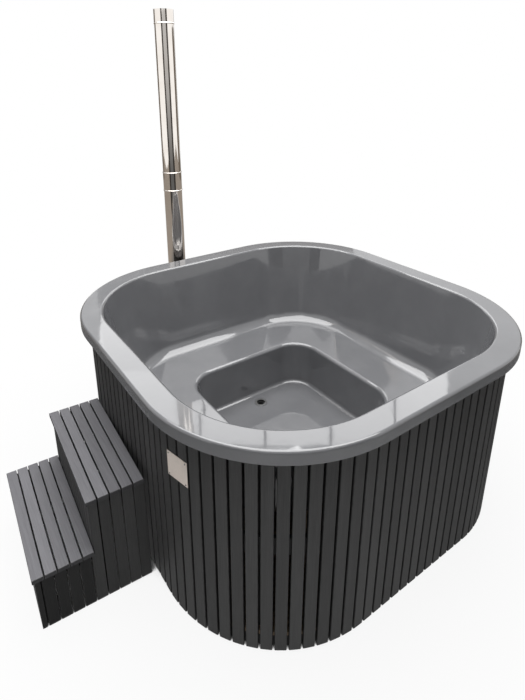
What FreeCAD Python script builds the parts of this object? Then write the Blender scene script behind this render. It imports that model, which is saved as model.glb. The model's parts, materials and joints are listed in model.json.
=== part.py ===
import FreeCAD
import Part
import math
import os

# Square wood-fired hot tub: moulded shell, slatted cladding, free-standing steps, outside stove and flue.
# Millimetres, +Z up, origin on the ground under the middle of the tub.
# The front is -Y, the steps stand on the left (-X), the stove at the back (+Y), the drain on the right (+X).

# Tub outline, seen from above: a square with large round corners
RIM_SPAN = 2000.0
RIM_CORNER_RADIUS = 645.0
TUB_HEIGHT = 1024.0
SKIRT_DEPTH = 57.0
RIM_OVERHANG = 44.0
SHELL_WALL = 8.0
RIM_OUTER_ROUND = 12.0
RIM_INNER_ROUND = 14.0
SKIRT_EDGE_ROUND = 2.5

# Inside of the shell
SEAT_HEIGHT = 490.0
FLOOR_HEIGHT = 205.0
WALL_LEAN = 127.0
FOOTWELL_SPAN = 856.0
FOOTWELL_CORNER_RADIUS = 162.0
FOOTWELL_LEAN = 12.0
WALL_FOOT_ROUND = 80.0
SEAT_EDGE_ROUND = 22.0
FLOOR_ROUND = 24.0

# Cladding and the timber behind it
SLAT_WIDTH = 49.0
SLAT_GAP = 9.0
SLAT_THICKNESS = 18.0
SLAT_EDGE = 2.0
SLAT_GROUND_GAP = 12.0
SLAT_TOP_GAP = 24.0
HOOP_THICKNESS = 20.0
HOOP_HEIGHT = 80.0
MIDDLE_HOOP_HEIGHT = 500.0
POST_WIDTH = 95.0
POST_THICKNESS = 20.0
POST_OFFSET = 230.0
POST_TO_SHELL = 6.0
FIT_GAP = 0.3
CUT_PAST = 1.0
EDGE_MATCH = 0.05

# Timber base
BEARER_HEIGHT = 70.0
BEARER_WIDTH = 70.0
BEARER_SPACING = 330.0
BEARERS_EACH_SIDE = 2
BEARER_END_GAP = 6.0
BASE_BOARD = 18.0
BLOCK_WIDTH = 70.0
BLOCK_OFFSET = 200.0
BLOCK_LENGTH = 560.0
BENCH_PANEL = 18.0
BENCH_PANEL_LENGTH = 900.0
BENCH_PANEL_OFFSET = 640.0

# Name plate near the left front corner, fixed over a gap between two slats
PLATE_SIZE = 115.0
PLATE_THICKNESS = 1.5
PLATE_HEIGHT = 782.0
PLATE_INTO_CORNER = 120.0
PLATE_SCREW_INSET = 9.0
PLATE_SCREW_RADIUS = 1.75
PLATE_SCREW_HEAD_RADIUS = 3.5
PLATE_SCREW_HEAD = 2.0
PLATE_SCREW_LENGTH = 20.0

# Drain: flange, nut, bent pipe and ball valve
DRAIN_X = 30.0
DRAIN_Y_NEAR = 330.0
DRAIN_PIPE_RADIUS = 25.0
DRAIN_PIPE_WALL = 2.0
DRAIN_STEM_WALL = 4.0
DRAIN_FLANGE_LIP = 10.0
DRAIN_FLANGE = 3.0
DRAIN_NUT_LIP = 12.0
DRAIN_NUT = 14.0
STEM_BEYOND_NUT = 2.0
DRAIN_PIPE_RISE = 32.0
DRAIN_BEND = 36.0
SOCKET_DEPTH = 14.0
SOCKET_GAP = 0.25
SOCKET_END_GAP = 0.5
VALVE_STANDOFF = 20.0
VALVE_HALF_LENGTH = 52.0
VALVE_SOCKET = 20.0
VALVE_SKIN = 6.0
VALVE_BALL_RADIUS = 30.0
VALVE_BORE_RADIUS = 20.0
VALVE_SPLIT = 12.0
VALVE_STEM_RADIUS = 6.0
VALVE_STEM_SINK = 5.0
VALVE_NECK_RADIUS = 12.0
VALVE_NECK_HEIGHT = 12.0
LEVER_LENGTH = 110.0
LEVER_WIDTH = 22.0
LEVER_THICKNESS = 4.0
LEVER_NUT_RADIUS = 10.0
LEVER_NUT = 7.0
RUNNING_GAP = 0.06

# Heater water line: wall fittings in the footwell, bent pipes, rubber sleeves at the joints, and clips
WATER_PIPE_RADIUS = 22.0
WATER_PIPE_WALL = 2.0
WATER_LOWER_LEVEL = 276.0
WATER_UPPER_LEVEL = 396.0
WATER_Y = 150.0
WATER_RUN_FROM_FOOTWELL = 172.0
WATER_BEND_RADIUS = 90.0
WATER_PAD_RADIUS = 42.0
WATER_PAD_PROUD = 1.5
WATER_FLANGE_LIP = 10.0
WATER_FLANGE = 4.0
WATER_NUT_LIP = 10.0
WATER_STUB = 60.0
WATER_HOLE_GAP = 3.0
OUTSIDE_BEND_RADIUS = 110.0
JOINT_GAP = 1.0
SLEEVE_WALL = 5.0
SLEEVE_HALF_LENGTH = 40.0
CLIP_WIDTH = 12.0
CLIP_THICKNESS = 1.2
CLIP_SCREW_SIZE = 10.0

# Stove and flue
FLUE_X = -108.0
FLUE_BEHIND_RIM = 160.0
FLUE_TOP = 2586.0
FLUE_RADIUS = 60.0
FLUE_WALL = 1.0
FLUE_COLLAR_WALL = 3.0
FLUE_COLLAR_RISE = 60.0
FLUE_BEAD = 2.5
FLUE_BEAD_HEIGHT = 8.0
FLUE_END_BEAD_DROP = 78.0
COUPLING_BOTTOM = 1470.0
COUPLING_TOP = 1598.0
FLUE_TO_STOVE_BACK = 100.0
STOVE_WIDTH = 460.0
STOVE_DEPTH = 600.0
STOVE_BODY = 560.0
STOVE_FOOT = 120.0
STOVE_FOOT_SIZE = 40.0
CASING_WALL = 3.0
FRONT_PLATE = 6.0
WATER_SPACE = 36.0
WATER_SPACE_BELOW = 27.0
FIREBOX_WALL = 4.0
STUB_FROM_FLUE = 30.0
STUB_COLLAR = 6.0
GRATE_RISE = 108.0
GRATE_THICKNESS = 18.0
GRATE_BORDER = 30.0
GRATE_SLOT = 10.0
GRATE_BAR = 12.0
GRATE_GAP = 1.0
LEDGE = 15.0
DOOR_OPENING_WIDTH = 300.0
DOOR_OPENING_HEIGHT = 290.0
DOOR_LAP = 20.0
DOOR_THICKNESS = 8.0
DOOR_ABOVE_GRATE = 14.0
GASKET_WIDTH = 10.0
GASKET_THICKNESS = 1.7
HINGE_BARREL_RADIUS = 9.0
HINGE_BARREL_HEIGHT = 36.0
HINGE_LUG_HEIGHT = 22.0
HINGE_PIN_RADIUS = 5.0
HINGE_PIN_HEAD = 6.0
HINGE_INSET = 70.0
HINGE_GAP = 1.0
LATCH_INSET = 15.0
LATCH_RADIUS = 7.0
LATCH_HUB_RADIUS = 13.0
LATCH_TONGUE = 40.0
LATCH_TONGUE_WIDTH = 14.0
LATCH_TONGUE_THICKNESS = 6.0
LATCH_BEHIND_PLATE = 2.0
HANDLE_LENGTH = 105.0
HANDLE_WIDTH = 16.0
HANDLE_THICKNESS = 12.0
DRAWER_WIDTH = 310.0
DRAWER_HEIGHT = 86.0
DRAWER_DEPTH = 520.0
DRAWER_WALL = 2.0
DRAWER_FRONT = 4.0
DRAWER_FRONT_LAP = 10.0
DRAWER_GAP = 0.5
KNOB_RADIUS = 16.0
KNOB_NECK_RADIUS = 6.0
KNOB_NECK = 20.0
KNOB_THICKNESS = 12.0

# Steps, which stand a little askew (the turn is in degrees)
STEP_GAP = 0.6
STEP_TURN = 2.5
STEP_NEAR_Y = -256.0
STEP_LENGTH = 696.0
STEP_FIRST_RISE = 286.0
STEP_SECOND_RISE = 267.0
STEP_BOARD = 46.0
STEP_BOARD_GAP = 5.0
STEP_BOARD_THICKNESS = 20.0
TREAD_BOARDS = 5
SIDE_BOARDS = 9
TREAD_OVERHANG = 10.0
TREAD_END_OVERHANG = 5.0
RISER_SETBACK = 12.0
TREAD_TO_RISER = 2.0
STEP_GROUND_GAP = 4.0
STEP_TIMBER = 40.0
STEP_BOARD_EDGE = 1.5

# Values worked out from the sizes above
RIM_HALF = RIM_SPAN / 2
CORNER = RIM_HALF - RIM_CORNER_RADIUS
SLAT_FACE = RIM_HALF - RIM_OVERHANG
SLAT_BACK = SLAT_FACE - SLAT_THICKNESS
HOOP_FACE = SLAT_BACK - FIT_GAP
HOOP_BACK = HOOP_FACE - HOOP_THICKNESS
POST_BACK = HOOP_BACK - POST_THICKNESS
UNDER_RIM = TUB_HEIGHT - SHELL_WALL
SLAT_TOP = UNDER_RIM - SLAT_TOP_GAP
OPENING_HALF = POST_BACK - POST_TO_SHELL - SHELL_WALL
WALL_SLOPE = WALL_LEAN / (TUB_HEIGHT - SEAT_HEIGHT)
WALL_ACROSS = SHELL_WALL * math.hypot(1.0, WALL_SLOPE)
FOOTWELL_HALF = FOOTWELL_SPAN / 2
FOOTWELL_CORNER = FOOTWELL_HALF - FOOTWELL_CORNER_RADIUS
FOOTWELL_SLOPE = FOOTWELL_LEAN / (SEAT_HEIGHT - FLOOR_HEIGHT)
FOOTWELL_ACROSS = SHELL_WALL * math.hypot(1.0, FOOTWELL_SLOPE)
UNDER_SEAT = SEAT_HEIGHT - SHELL_WALL
UNDER_FLOOR = FLOOR_HEIGHT - SHELL_WALL
BASE_TOP = BEARER_HEIGHT + BASE_BOARD
SLAT_PERIMETER = 8 * CORNER + 2 * math.pi * (SLAT_FACE - CORNER)
SLAT_COUNT = round(SLAT_PERIMETER / (SLAT_WIDTH + SLAT_GAP))
SLAT_PITCH = SLAT_PERIMETER / SLAT_COUNT
SIDE_LENGTH = SLAT_PERIMETER / 4
SLAT_GROUPS = (
    "cladding_front", "cladding_front_right_corner", "cladding_right", "cladding_back_right_corner",
    "cladding_back", "cladding_back_left_corner", "cladding_left", "cladding_front_left_corner",
)
WATER_LEVELS = (WATER_LOWER_LEVEL, WATER_UPPER_LEVEL)
FLUE_Y = RIM_HALF + FLUE_BEHIND_RIM
STOVE_BACK = FLUE_Y - FLUE_TO_STOVE_BACK
STOVE_FRONT = STOVE_BACK + STOVE_DEPTH
STOVE_LEFT = FLUE_X - STOVE_WIDTH / 2
STOVE_TOP = STOVE_FOOT + STOVE_BODY
PLATE_FACE = STOVE_FRONT + FRONT_PLATE
FIREBOX_HALF = STOVE_WIDTH / 2 - CASING_WALL - WATER_SPACE
FIREBOX_BACK = STOVE_BACK + CASING_WALL + WATER_SPACE
FIREBOX_BOTTOM = STOVE_FOOT + CASING_WALL + WATER_SPACE_BELOW
FIREBOX_TOP = STOVE_TOP - CASING_WALL - WATER_SPACE
FIREBOX_FLOOR = FIREBOX_BOTTOM + FIREBOX_WALL
GRATE_BOTTOM = FIREBOX_FLOOR + GRATE_RISE
DOOR_OPENING_BOTTOM = GRATE_BOTTOM + GRATE_THICKNESS + DOOR_ABOVE_GRATE
DOOR_BACK = PLATE_FACE + GASKET_THICKNESS + FIT_GAP
DOOR_LEFT = -DOOR_OPENING_WIDTH / 2 - DOOR_LAP
HINGE_X = FLUE_X + DOOR_LEFT - HINGE_BARREL_RADIUS - HINGE_GAP
HINGE_Y = PLATE_FACE + HINGE_BARREL_RADIUS + HINGE_GAP
LATCH_X = FLUE_X + DOOR_OPENING_WIDTH / 2 - LATCH_INSET
LATCH_Z = DOOR_OPENING_BOTTOM + DOOR_OPENING_HEIGHT / 2
STEP_PITCH = STEP_BOARD + STEP_BOARD_GAP
TREAD_DEPTH = TREAD_BOARDS * STEP_PITCH - STEP_BOARD_GAP
STEP_X = -(SLAT_FACE + STEP_GAP)
STEP_FAR_Y = STEP_NEAR_Y + STEP_LENGTH
STEP_TOP = STEP_FIRST_RISE + STEP_SECOND_RISE
UPPER_RISER_FACE = TREAD_DEPTH - RISER_SETBACK
LOWER_TREAD_START = UPPER_RISER_FACE + TREAD_TO_RISER
LOWER_RISER_FACE = LOWER_TREAD_START + TREAD_DEPTH - TREAD_OVERHANG
SIDE_FACE_Y = STEP_NEAR_Y + TREAD_END_OVERHANG
SIDE_BACK_Y = SIDE_FACE_Y + STEP_BOARD_THICKNESS
STEP_MIDDLE_Y = STEP_NEAR_Y + STEP_LENGTH / 2

V = FreeCAD.Vector
X_AXIS = V(1, 0, 0)
Y_AXIS = V(0, 1, 0)
Z_AXIS = V(0, 0, 1)


def save(name, solids):
    """Write one node: a single solid, or a group of separate solids."""
    shape = Part.makeCompound(solids) if isinstance(solids, list) else solids
    shape.exportStep("parts/" + name + ".step")


def box(x0, x1, y0, y1, z0, z1):
    return Part.makeBox(x1 - x0, y1 - y0, z1 - z0, V(x0, y0, z0))


def rod(radius, start, direction, length):
    return Part.makeCylinder(radius, length, start, direction)


def tube(outer, inner, start, direction, length):
    return rod(outer, start, direction, length).cut(rod(inner, start, direction, length))


def outline(half, corner, z):
    """Wire of a square with round corners; the corner arcs are centred at (+-corner, +-corner)."""
    radius = half - corner
    edges = []
    for quarter in range(4):
        angle = quarter * math.pi / 2
        turn = FreeCAD.Rotation(Z_AXIS, math.degrees(angle))
        start = turn.multVec(V(half, -corner, z))
        end = turn.multVec(V(half, corner, z))
        edges.append(Part.LineSegment(start, end).toShape())
        diagonal = corner + radius * math.cos(math.pi / 4)
        middle = turn.multVec(V(diagonal, diagonal, z))
        after = turn.multVec(V(corner, half, z))
        edges.append(Part.Arc(end, middle, after).toShape())
    return Part.Wire(edges)


def slab(half, corner, bottom, top):
    return Part.Face(outline(half, corner, bottom)).extrude(V(0, 0, top - bottom))


def ring(outer, inner, corner, bottom, top):
    return slab(outer, corner, bottom, top).cut(slab(inner, corner, bottom, top))


def tapered(half_low, half_high, corner, bottom, top):
    """Solid between two outlines, with straight leaning sides."""
    return Part.makeLoft([outline(half_low, corner, bottom), outline(half_high, corner, top)], True, True)


def level_edges(shape, z, half):
    """Edges of the outline of the given half width that lies flat at height z."""
    found = []
    for edge in shape.Edges:
        b = edge.BoundBox
        reach = max(abs(b.XMin), abs(b.XMax), abs(b.YMin), abs(b.YMax))
        flat = abs(b.ZMin - z) < EDGE_MATCH and abs(b.ZMax - z) < EDGE_MATCH
        if flat and abs(reach - half) < EDGE_MATCH:
            found.append(edge)
    return found


def around(distance):
    """Point and outward direction on the face of the cladding, measured from the middle of the front."""
    along = (distance + CORNER) % SLAT_PERIMETER
    side = int(along // SIDE_LENGTH)
    along -= side * SIDE_LENGTH
    facing = math.radians(90 * side - 90)
    radius = SLAT_FACE - CORNER
    if along <= 2 * CORNER:
        outward = V(math.cos(facing), math.sin(facing), 0)
        point = outward * SLAT_FACE + V(-outward.y, outward.x, 0) * (along - CORNER)
        return point, outward, 2 * side
    forward = V(math.cos(facing), math.sin(facing), 0)
    centre = (forward + V(-forward.y, forward.x, 0)) * CORNER
    turned = facing + (along - 2 * CORNER) / radius
    outward = V(math.cos(turned), math.sin(turned), 0)
    return centre + outward * radius, outward, 2 * side + 1


def nearest_gap(target):
    """The gap between two slats that lies nearest to a point in plan."""
    gaps = [around(i * SLAT_PITCH) for i in range(SLAT_COUNT)]
    return min(gaps, key=lambda gap: (gap[0] - target).Length)


def placed(shape, point, outward):
    """Shape drawn with +Y outward, moved to a point with that outward direction."""
    angle = math.degrees(math.atan2(outward.y, outward.x)) - 90
    copy = shape.copy()
    copy.Placement = FreeCAD.Placement(point, FreeCAD.Rotation(Z_AXIS, angle))
    return copy


def bent_path(corners, bend):
    """Straight runs between corner points, joined by tangent arcs of one radius."""
    edges = []
    start = corners[0]
    for before, corner, after in zip(corners, corners[1:], corners[2:]):
        coming = (corner - before).normalize()
        going = (after - corner).normalize()
        half_turn = coming.getAngle(going) / 2
        reach = bend * math.tan(half_turn)
        arc_start = corner - coming * reach
        arc_end = corner + going * reach
        inward = (going - coming).normalize()
        middle = corner + inward * (bend / math.cos(half_turn) - bend)
        edges.append(Part.LineSegment(start, arc_start).toShape())
        edges.append(Part.Arc(arc_start, middle, arc_end).toShape())
        start = arc_end
    edges.append(Part.LineSegment(start, corners[-1]).toShape())
    return Part.Wire(edges)


def bent_rod(corners, bend, radius):
    path = bent_path(corners, bend)
    direction = corners[1] - corners[0]
    section = Part.Wire([Part.Circle(corners[0], direction, radius).toShape()])
    return path.makePipeShell([section], True, False)


def bent_tube(corners, bend, outer, inner):
    return bent_rod(corners, bend, outer).cut(bent_rod(corners, bend, inner))


DRAIN_Y = nearest_gap(V(SLAT_FACE, DRAIN_Y_NEAR, 0))[0].y
DRAIN_RUN_Z = BASE_TOP + DRAIN_PIPE_RISE
WATER_RUN_X = nearest_gap(V(-FOOTWELL_HALF - WATER_RUN_FROM_FOOTWELL, SLAT_FACE, 0))[0].x
VALVE_X = SLAT_FACE + VALVE_STANDOFF + VALVE_HALF_LENGTH


def footwell_half(z):
    """Inside half width of the footwell at a height."""
    return FOOTWELL_HALF - FOOTWELL_SLOPE * (SEAT_HEIGHT - z)


def pad_faces(z):
    """Water-side and dry-side x of the flat pad that carries a heater fitting on the left footwell wall."""
    wet = -footwell_half(z - WATER_PAD_RADIUS) + WATER_PAD_PROUD
    dry = -footwell_half(z + WATER_PAD_RADIUS) - FOOTWELL_ACROSS - WATER_PAD_PROUD
    return wet, dry


def bathing_space():
    """The room that the shell leaves free: above the bench and down in the footwell."""
    wall_low = OPENING_HALF - WALL_LEAN
    above = 2 * RIM_INNER_ROUND
    upper = tapered(wall_low, OPENING_HALF + WALL_SLOPE * above, CORNER, SEAT_HEIGHT, TUB_HEIGHT + above)
    well = tapered(footwell_half(FLOOR_HEIGHT), FOOTWELL_HALF, FOOTWELL_CORNER, FLOOR_HEIGHT, SEAT_HEIGHT)
    room = upper.fuse(well).removeSplitter()
    room = room.makeFillet(WALL_FOOT_ROUND, level_edges(room, SEAT_HEIGHT, wall_low))
    room = room.makeFillet(SEAT_EDGE_ROUND, level_edges(room, SEAT_HEIGHT, FOOTWELL_HALF))
    return room.makeFillet(FLOOR_ROUND, level_edges(room, FLOOR_HEIGHT, footwell_half(FLOOR_HEIGHT)))


def shell_body():
    """The outside of the walls, bench and footwell, without the rim."""
    wall_low = OPENING_HALF - WALL_LEAN + WALL_ACROSS - WALL_SLOPE * SHELL_WALL
    wall_high = OPENING_HALF + WALL_ACROSS - WALL_SLOPE * SHELL_WALL
    upper = tapered(wall_low, wall_high, CORNER, UNDER_SEAT, UNDER_RIM)
    well_low = footwell_half(UNDER_FLOOR) + FOOTWELL_ACROSS
    well_high = footwell_half(UNDER_SEAT) + FOOTWELL_ACROSS
    well = tapered(well_low, well_high, FOOTWELL_CORNER, UNDER_FLOOR, UNDER_SEAT)
    body = upper.fuse(well).removeSplitter()
    body = body.makeFillet(WALL_FOOT_ROUND + SHELL_WALL, level_edges(body, UNDER_SEAT, wall_low))
    body = body.makeFillet(SEAT_EDGE_ROUND - SHELL_WALL, level_edges(body, UNDER_SEAT, well_high))
    return body.makeFillet(FLOOR_ROUND + SHELL_WALL, level_edges(body, UNDER_FLOOR, well_low))


def tub_shell():
    skirt_bottom = TUB_HEIGHT - SKIRT_DEPTH
    rim = slab(RIM_HALF, CORNER, skirt_bottom, TUB_HEIGHT)
    rim = rim.cut(slab(RIM_HALF - SHELL_WALL, CORNER, skirt_bottom, UNDER_RIM))
    shell = rim.fuse(shell_body()).cut(bathing_space()).removeSplitter()
    shell = shell.makeFillet(RIM_OUTER_ROUND, level_edges(shell, TUB_HEIGHT, RIM_HALF))
    shell = shell.makeFillet(RIM_INNER_ROUND, level_edges(shell, TUB_HEIGHT, OPENING_HALF))
    shell = shell.makeFillet(SKIRT_EDGE_ROUND, level_edges(shell, skirt_bottom, RIM_HALF))
    stem = DRAIN_PIPE_RADIUS + SOCKET_GAP + DRAIN_STEM_WALL
    below = V(DRAIN_X, DRAIN_Y, UNDER_FLOOR - CUT_PAST)
    shell = shell.cut(rod(stem + FIT_GAP, below, Z_AXIS, SHELL_WALL + 2 * CUT_PAST))
    hole = WATER_PIPE_RADIUS + SOCKET_GAP + DRAIN_STEM_WALL + FIT_GAP
    for z in WATER_LEVELS:
        wet, dry = pad_faces(z)
        shell = shell.fuse(rod(WATER_PAD_RADIUS, V(dry, WATER_Y, z), X_AXIS, wet - dry))
        shell = shell.cut(rod(hole, V(dry - CUT_PAST, WATER_Y, z), X_AXIS, wet - dry + 2 * CUT_PAST))
    save("tub_shell", shell)


def slat():
    """One slat, drawn with its face on y = 0 and its two front edges eased."""
    w = SLAT_WIDTH / 2
    points = [
        V(-w, -SLAT_THICKNESS, 0), V(w, -SLAT_THICKNESS, 0), V(w, -SLAT_EDGE, 0),
        V(w - SLAT_EDGE, 0, 0), V(SLAT_EDGE - w, 0, 0), V(-w, -SLAT_EDGE, 0),
    ]
    face = Part.Face(Part.makePolygon(points + points[:1]))
    return face.extrude(V(0, 0, SLAT_TOP - SLAT_GROUND_GAP))


def cladding():
    """Slats all round, with holes where the drain and the two heater pipes pass."""
    holes = [rod(DRAIN_PIPE_RADIUS + WATER_HOLE_GAP, V(0, DRAIN_Y, DRAIN_RUN_Z), X_AXIS, RIM_SPAN)]
    for z in WATER_LEVELS:
        holes.append(rod(WATER_PIPE_RADIUS + WATER_HOLE_GAP, V(WATER_RUN_X, 0, z), Y_AXIS, RIM_SPAN))
    groups = {name: [] for name in SLAT_GROUPS}
    for i in range(SLAT_COUNT):
        point, outward, group = around((i + 0.5) * SLAT_PITCH)
        one = placed(slat(), point + Z_AXIS * SLAT_GROUND_GAP, outward)
        for hole in holes:
            if one.distToShape(hole)[0] < FIT_GAP:
                one = one.cut(hole)
        groups[SLAT_GROUPS[group]].append(one)
    for name, slats in groups.items():
        save(name, slats)


def hoops():
    """Three bent hoops behind the slats: under the base board, half way up and at the top."""
    tops = (BEARER_HEIGHT, MIDDLE_HOOP_HEIGHT + HOOP_HEIGHT, SLAT_TOP)
    bottoms = (SLAT_GROUND_GAP, MIDDLE_HOOP_HEIGHT, SLAT_TOP - HOOP_HEIGHT)
    save("cladding_hoops", [ring(HOOP_FACE, HOOP_BACK, CORNER, b, t) for b, t in zip(bottoms, tops)])


def rim_posts():
    """Uprights between the base board and the underside of the rim, two a side and one in each corner."""
    w = POST_WIDTH / 2
    post = box(-w, w, -POST_THICKNESS, 0, BASE_TOP, UNDER_RIM)
    radius = HOOP_BACK - CORNER
    corner_reach = math.hypot(CORNER, CORNER) + math.sqrt(radius ** 2 - w ** 2) - FIT_GAP
    posts = []
    for side in range(4):
        turn = FreeCAD.Rotation(Z_AXIS, 90 * side)
        for offset in (-POST_OFFSET, POST_OFFSET):
            posts.append(placed(post, turn.multVec(V(offset, HOOP_BACK, 0)), turn.multVec(Y_AXIS)))
        diagonal = turn.multVec(V(1, 1, 0).normalize())
        posts.append(placed(post, diagonal * corner_reach, diagonal))
    save("rim_posts", posts)


def base():
    radius = HOOP_BACK - CORNER
    bearers = []
    for i in range(-BEARERS_EACH_SIDE, BEARERS_EACH_SIDE + 1):
        x = i * BEARER_SPACING
        beyond = max(0.0, abs(x) + BEARER_WIDTH / 2 - CORNER)
        reach = CORNER + math.sqrt(radius ** 2 - beyond ** 2) - BEARER_END_GAP
        bearers.append(box(x - BEARER_WIDTH / 2, x + BEARER_WIDTH / 2, -reach, reach, 0, BEARER_HEIGHT))
    save("base_bearers", bearers)
    save("base_board", slab(HOOP_FACE, CORNER, BEARER_HEIGHT, BASE_TOP))
    blocks = []
    for x in (-BLOCK_OFFSET, BLOCK_OFFSET):
        y = BLOCK_LENGTH / 2
        blocks.append(box(x - BLOCK_WIDTH / 2, x + BLOCK_WIDTH / 2, -y, y, BASE_TOP, UNDER_FLOOR))
    save("footwell_blocks", blocks)


def bench_panels():
    """Panels on edge under the bench; the right one lets the drain pipe through."""
    y = BENCH_PANEL_LENGTH / 2
    panel = box(-y, y, 0, BENCH_PANEL, BASE_TOP, UNDER_SEAT)
    hole = rod(DRAIN_PIPE_RADIUS + WATER_HOLE_GAP, V(0, DRAIN_Y, DRAIN_RUN_Z), X_AXIS, RIM_HALF)
    panels = []
    for side in range(4):
        outward = FreeCAD.Rotation(Z_AXIS, 90 * side).multVec(Y_AXIS)
        panels.append(placed(panel, outward * BENCH_PANEL_OFFSET, outward).cut(hole))
    save("bench_panels", panels)


def name_plate():
    """Flat plate on the front edges of two neighbouring slats, with a screw in each corner."""
    target = V(-SLAT_FACE, -CORNER - PLATE_INTO_CORNER, 0)
    point, outward, _ = nearest_gap(target)
    half_turn = SLAT_PITCH / 2 / (SLAT_FACE - CORNER)
    drop = (SLAT_FACE - CORNER) * (1 - math.cos(half_turn))
    lift = (SLAT_WIDTH / 2 - SLAT_EDGE) * math.sin(half_turn) - drop + FIT_GAP
    w = PLATE_SIZE / 2
    inset = w - PLATE_SCREW_INSET
    plate = box(-w, w, 0, PLATE_THICKNESS, -w, w)
    screws = []
    for x in (-inset, inset):
        for z in (-inset, inset):
            back = V(x, PLATE_THICKNESS, z)
            plate = plate.cut(rod(PLATE_SCREW_RADIUS + FIT_GAP, back, -Y_AXIS, PLATE_THICKNESS))
            shank = rod(PLATE_SCREW_RADIUS, back, -Y_AXIS, PLATE_SCREW_LENGTH)
            head = rod(PLATE_SCREW_HEAD_RADIUS, back, Y_AXIS, PLATE_SCREW_HEAD)
            screws.append(shank.fuse(head))
    place = point + outward * lift + Z_AXIS * PLATE_HEIGHT
    save("name_plate", placed(plate, place, outward))
    save("name_plate_screws", [placed(screw, place, outward) for screw in screws])


def drain_fittings():
    bore = DRAIN_PIPE_RADIUS + SOCKET_GAP
    stem = bore + DRAIN_STEM_WALL
    floor = V(DRAIN_X, DRAIN_Y, FLOOR_HEIGHT)
    stem_length = SHELL_WALL + DRAIN_NUT + STEM_BEYOND_NUT
    flange = rod(stem + DRAIN_FLANGE_LIP, floor, Z_AXIS, DRAIN_FLANGE)
    flange = flange.fuse(rod(stem, floor, -Z_AXIS, stem_length))
    through = floor + Z_AXIS * DRAIN_FLANGE
    flange = flange.cut(rod(bore, through, -Z_AXIS, stem_length + DRAIN_FLANGE))
    save("drain_flange", flange)
    under = V(DRAIN_X, DRAIN_Y, UNDER_FLOOR)
    save("drain_nut", tube(stem + DRAIN_NUT_LIP, stem + FIT_GAP, under, -Z_AXIS, DRAIN_NUT))
    pipe_end = VALVE_X - VALVE_HALF_LENGTH + VALVE_SOCKET - SOCKET_END_GAP
    corners = [
        V(DRAIN_X, DRAIN_Y, FLOOR_HEIGHT - stem_length + SOCKET_DEPTH),
        V(DRAIN_X, DRAIN_Y, DRAIN_RUN_Z),
        V(pipe_end, DRAIN_Y, DRAIN_RUN_Z),
    ]
    inner = DRAIN_PIPE_RADIUS - DRAIN_PIPE_WALL
    save("drain_pipe", bent_tube(corners, DRAIN_BEND, DRAIN_PIPE_RADIUS, inner))


def drain_valve():
    """Ball valve on the end of the drain pipe: body, outlet tail, ball, stem, lever and lever nut."""
    centre = V(VALVE_X, DRAIN_Y, DRAIN_RUN_Z)
    start = centre - X_AXIS * VALVE_HALF_LENGTH
    socket = DRAIN_PIPE_RADIUS + SOCKET_GAP
    cavity = VALVE_BALL_RADIUS + RUNNING_GAP
    neck_top = cavity + VALVE_SKIN + VALVE_NECK_HEIGHT
    whole = rod(socket + VALVE_SKIN, start, X_AXIS, 2 * VALVE_HALF_LENGTH)
    whole = whole.fuse(Part.makeSphere(cavity + VALVE_SKIN, centre))
    whole = whole.fuse(rod(VALVE_NECK_RADIUS, centre, Z_AXIS, neck_top))
    whole = whole.cut(Part.makeSphere(cavity, centre))
    whole = whole.cut(rod(VALVE_BORE_RADIUS, start, X_AXIS, 2 * VALVE_HALF_LENGTH))
    for socket_start in (start, centre + X_AXIS * (VALVE_HALF_LENGTH - VALVE_SOCKET)):
        whole = whole.cut(rod(socket, socket_start, X_AXIS, VALVE_SOCKET))
    whole = whole.cut(rod(VALVE_STEM_RADIUS + RUNNING_GAP, centre, Z_AXIS, neck_top))
    reach = 2 * VALVE_HALF_LENGTH
    tail_side = box(VALVE_X + VALVE_SPLIT, VALVE_X + reach, DRAIN_Y - reach, DRAIN_Y + reach, 0, TUB_HEIGHT)
    save("drain_valve_body", whole.cut(tail_side))
    save("drain_valve_tail", whole.common(tail_side))
    ball = Part.makeSphere(VALVE_BALL_RADIUS, centre)
    ball = ball.cut(rod(VALVE_BORE_RADIUS, centre - Y_AXIS * reach, Y_AXIS, 2 * reach))
    slot_floor = VALVE_BALL_RADIUS - VALVE_STEM_SINK
    ball = ball.cut(rod(VALVE_STEM_RADIUS + RUNNING_GAP, centre + Z_AXIS * slot_floor, Z_AXIS, reach))
    save("drain_valve_ball", ball)
    lever_z = neck_top + FIT_GAP
    stem_top = lever_z + LEVER_THICKNESS + LEVER_NUT
    stem = rod(VALVE_STEM_RADIUS, centre + Z_AXIS * (slot_floor + FIT_GAP), Z_AXIS, stem_top - slot_floor)
    save("drain_valve_stem", stem)
    lever_base = centre + Z_AXIS * lever_z
    w = LEVER_WIDTH / 2
    lever = box(-w, w, -LEVER_LENGTH, 0, 0, LEVER_THICKNESS)
    lever = lever.fuse(rod(w, V(0, 0, 0), Z_AXIS, LEVER_THICKNESS))
    lever = lever.fuse(rod(w, V(0, -LEVER_LENGTH, 0), Z_AXIS, LEVER_THICKNESS)).removeSplitter()
    lever = lever.cut(rod(VALVE_STEM_RADIUS + RUNNING_GAP, V(0, 0, 0), Z_AXIS, LEVER_THICKNESS))
    lever.translate(lever_base)
    save("drain_valve_lever", lever)
    nut_base = lever_base + Z_AXIS * LEVER_THICKNESS
    nut = tube(LEVER_NUT_RADIUS, VALVE_STEM_RADIUS + RUNNING_GAP, nut_base, Z_AXIS, LEVER_NUT)
    save("drain_lever_nut", nut)


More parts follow.
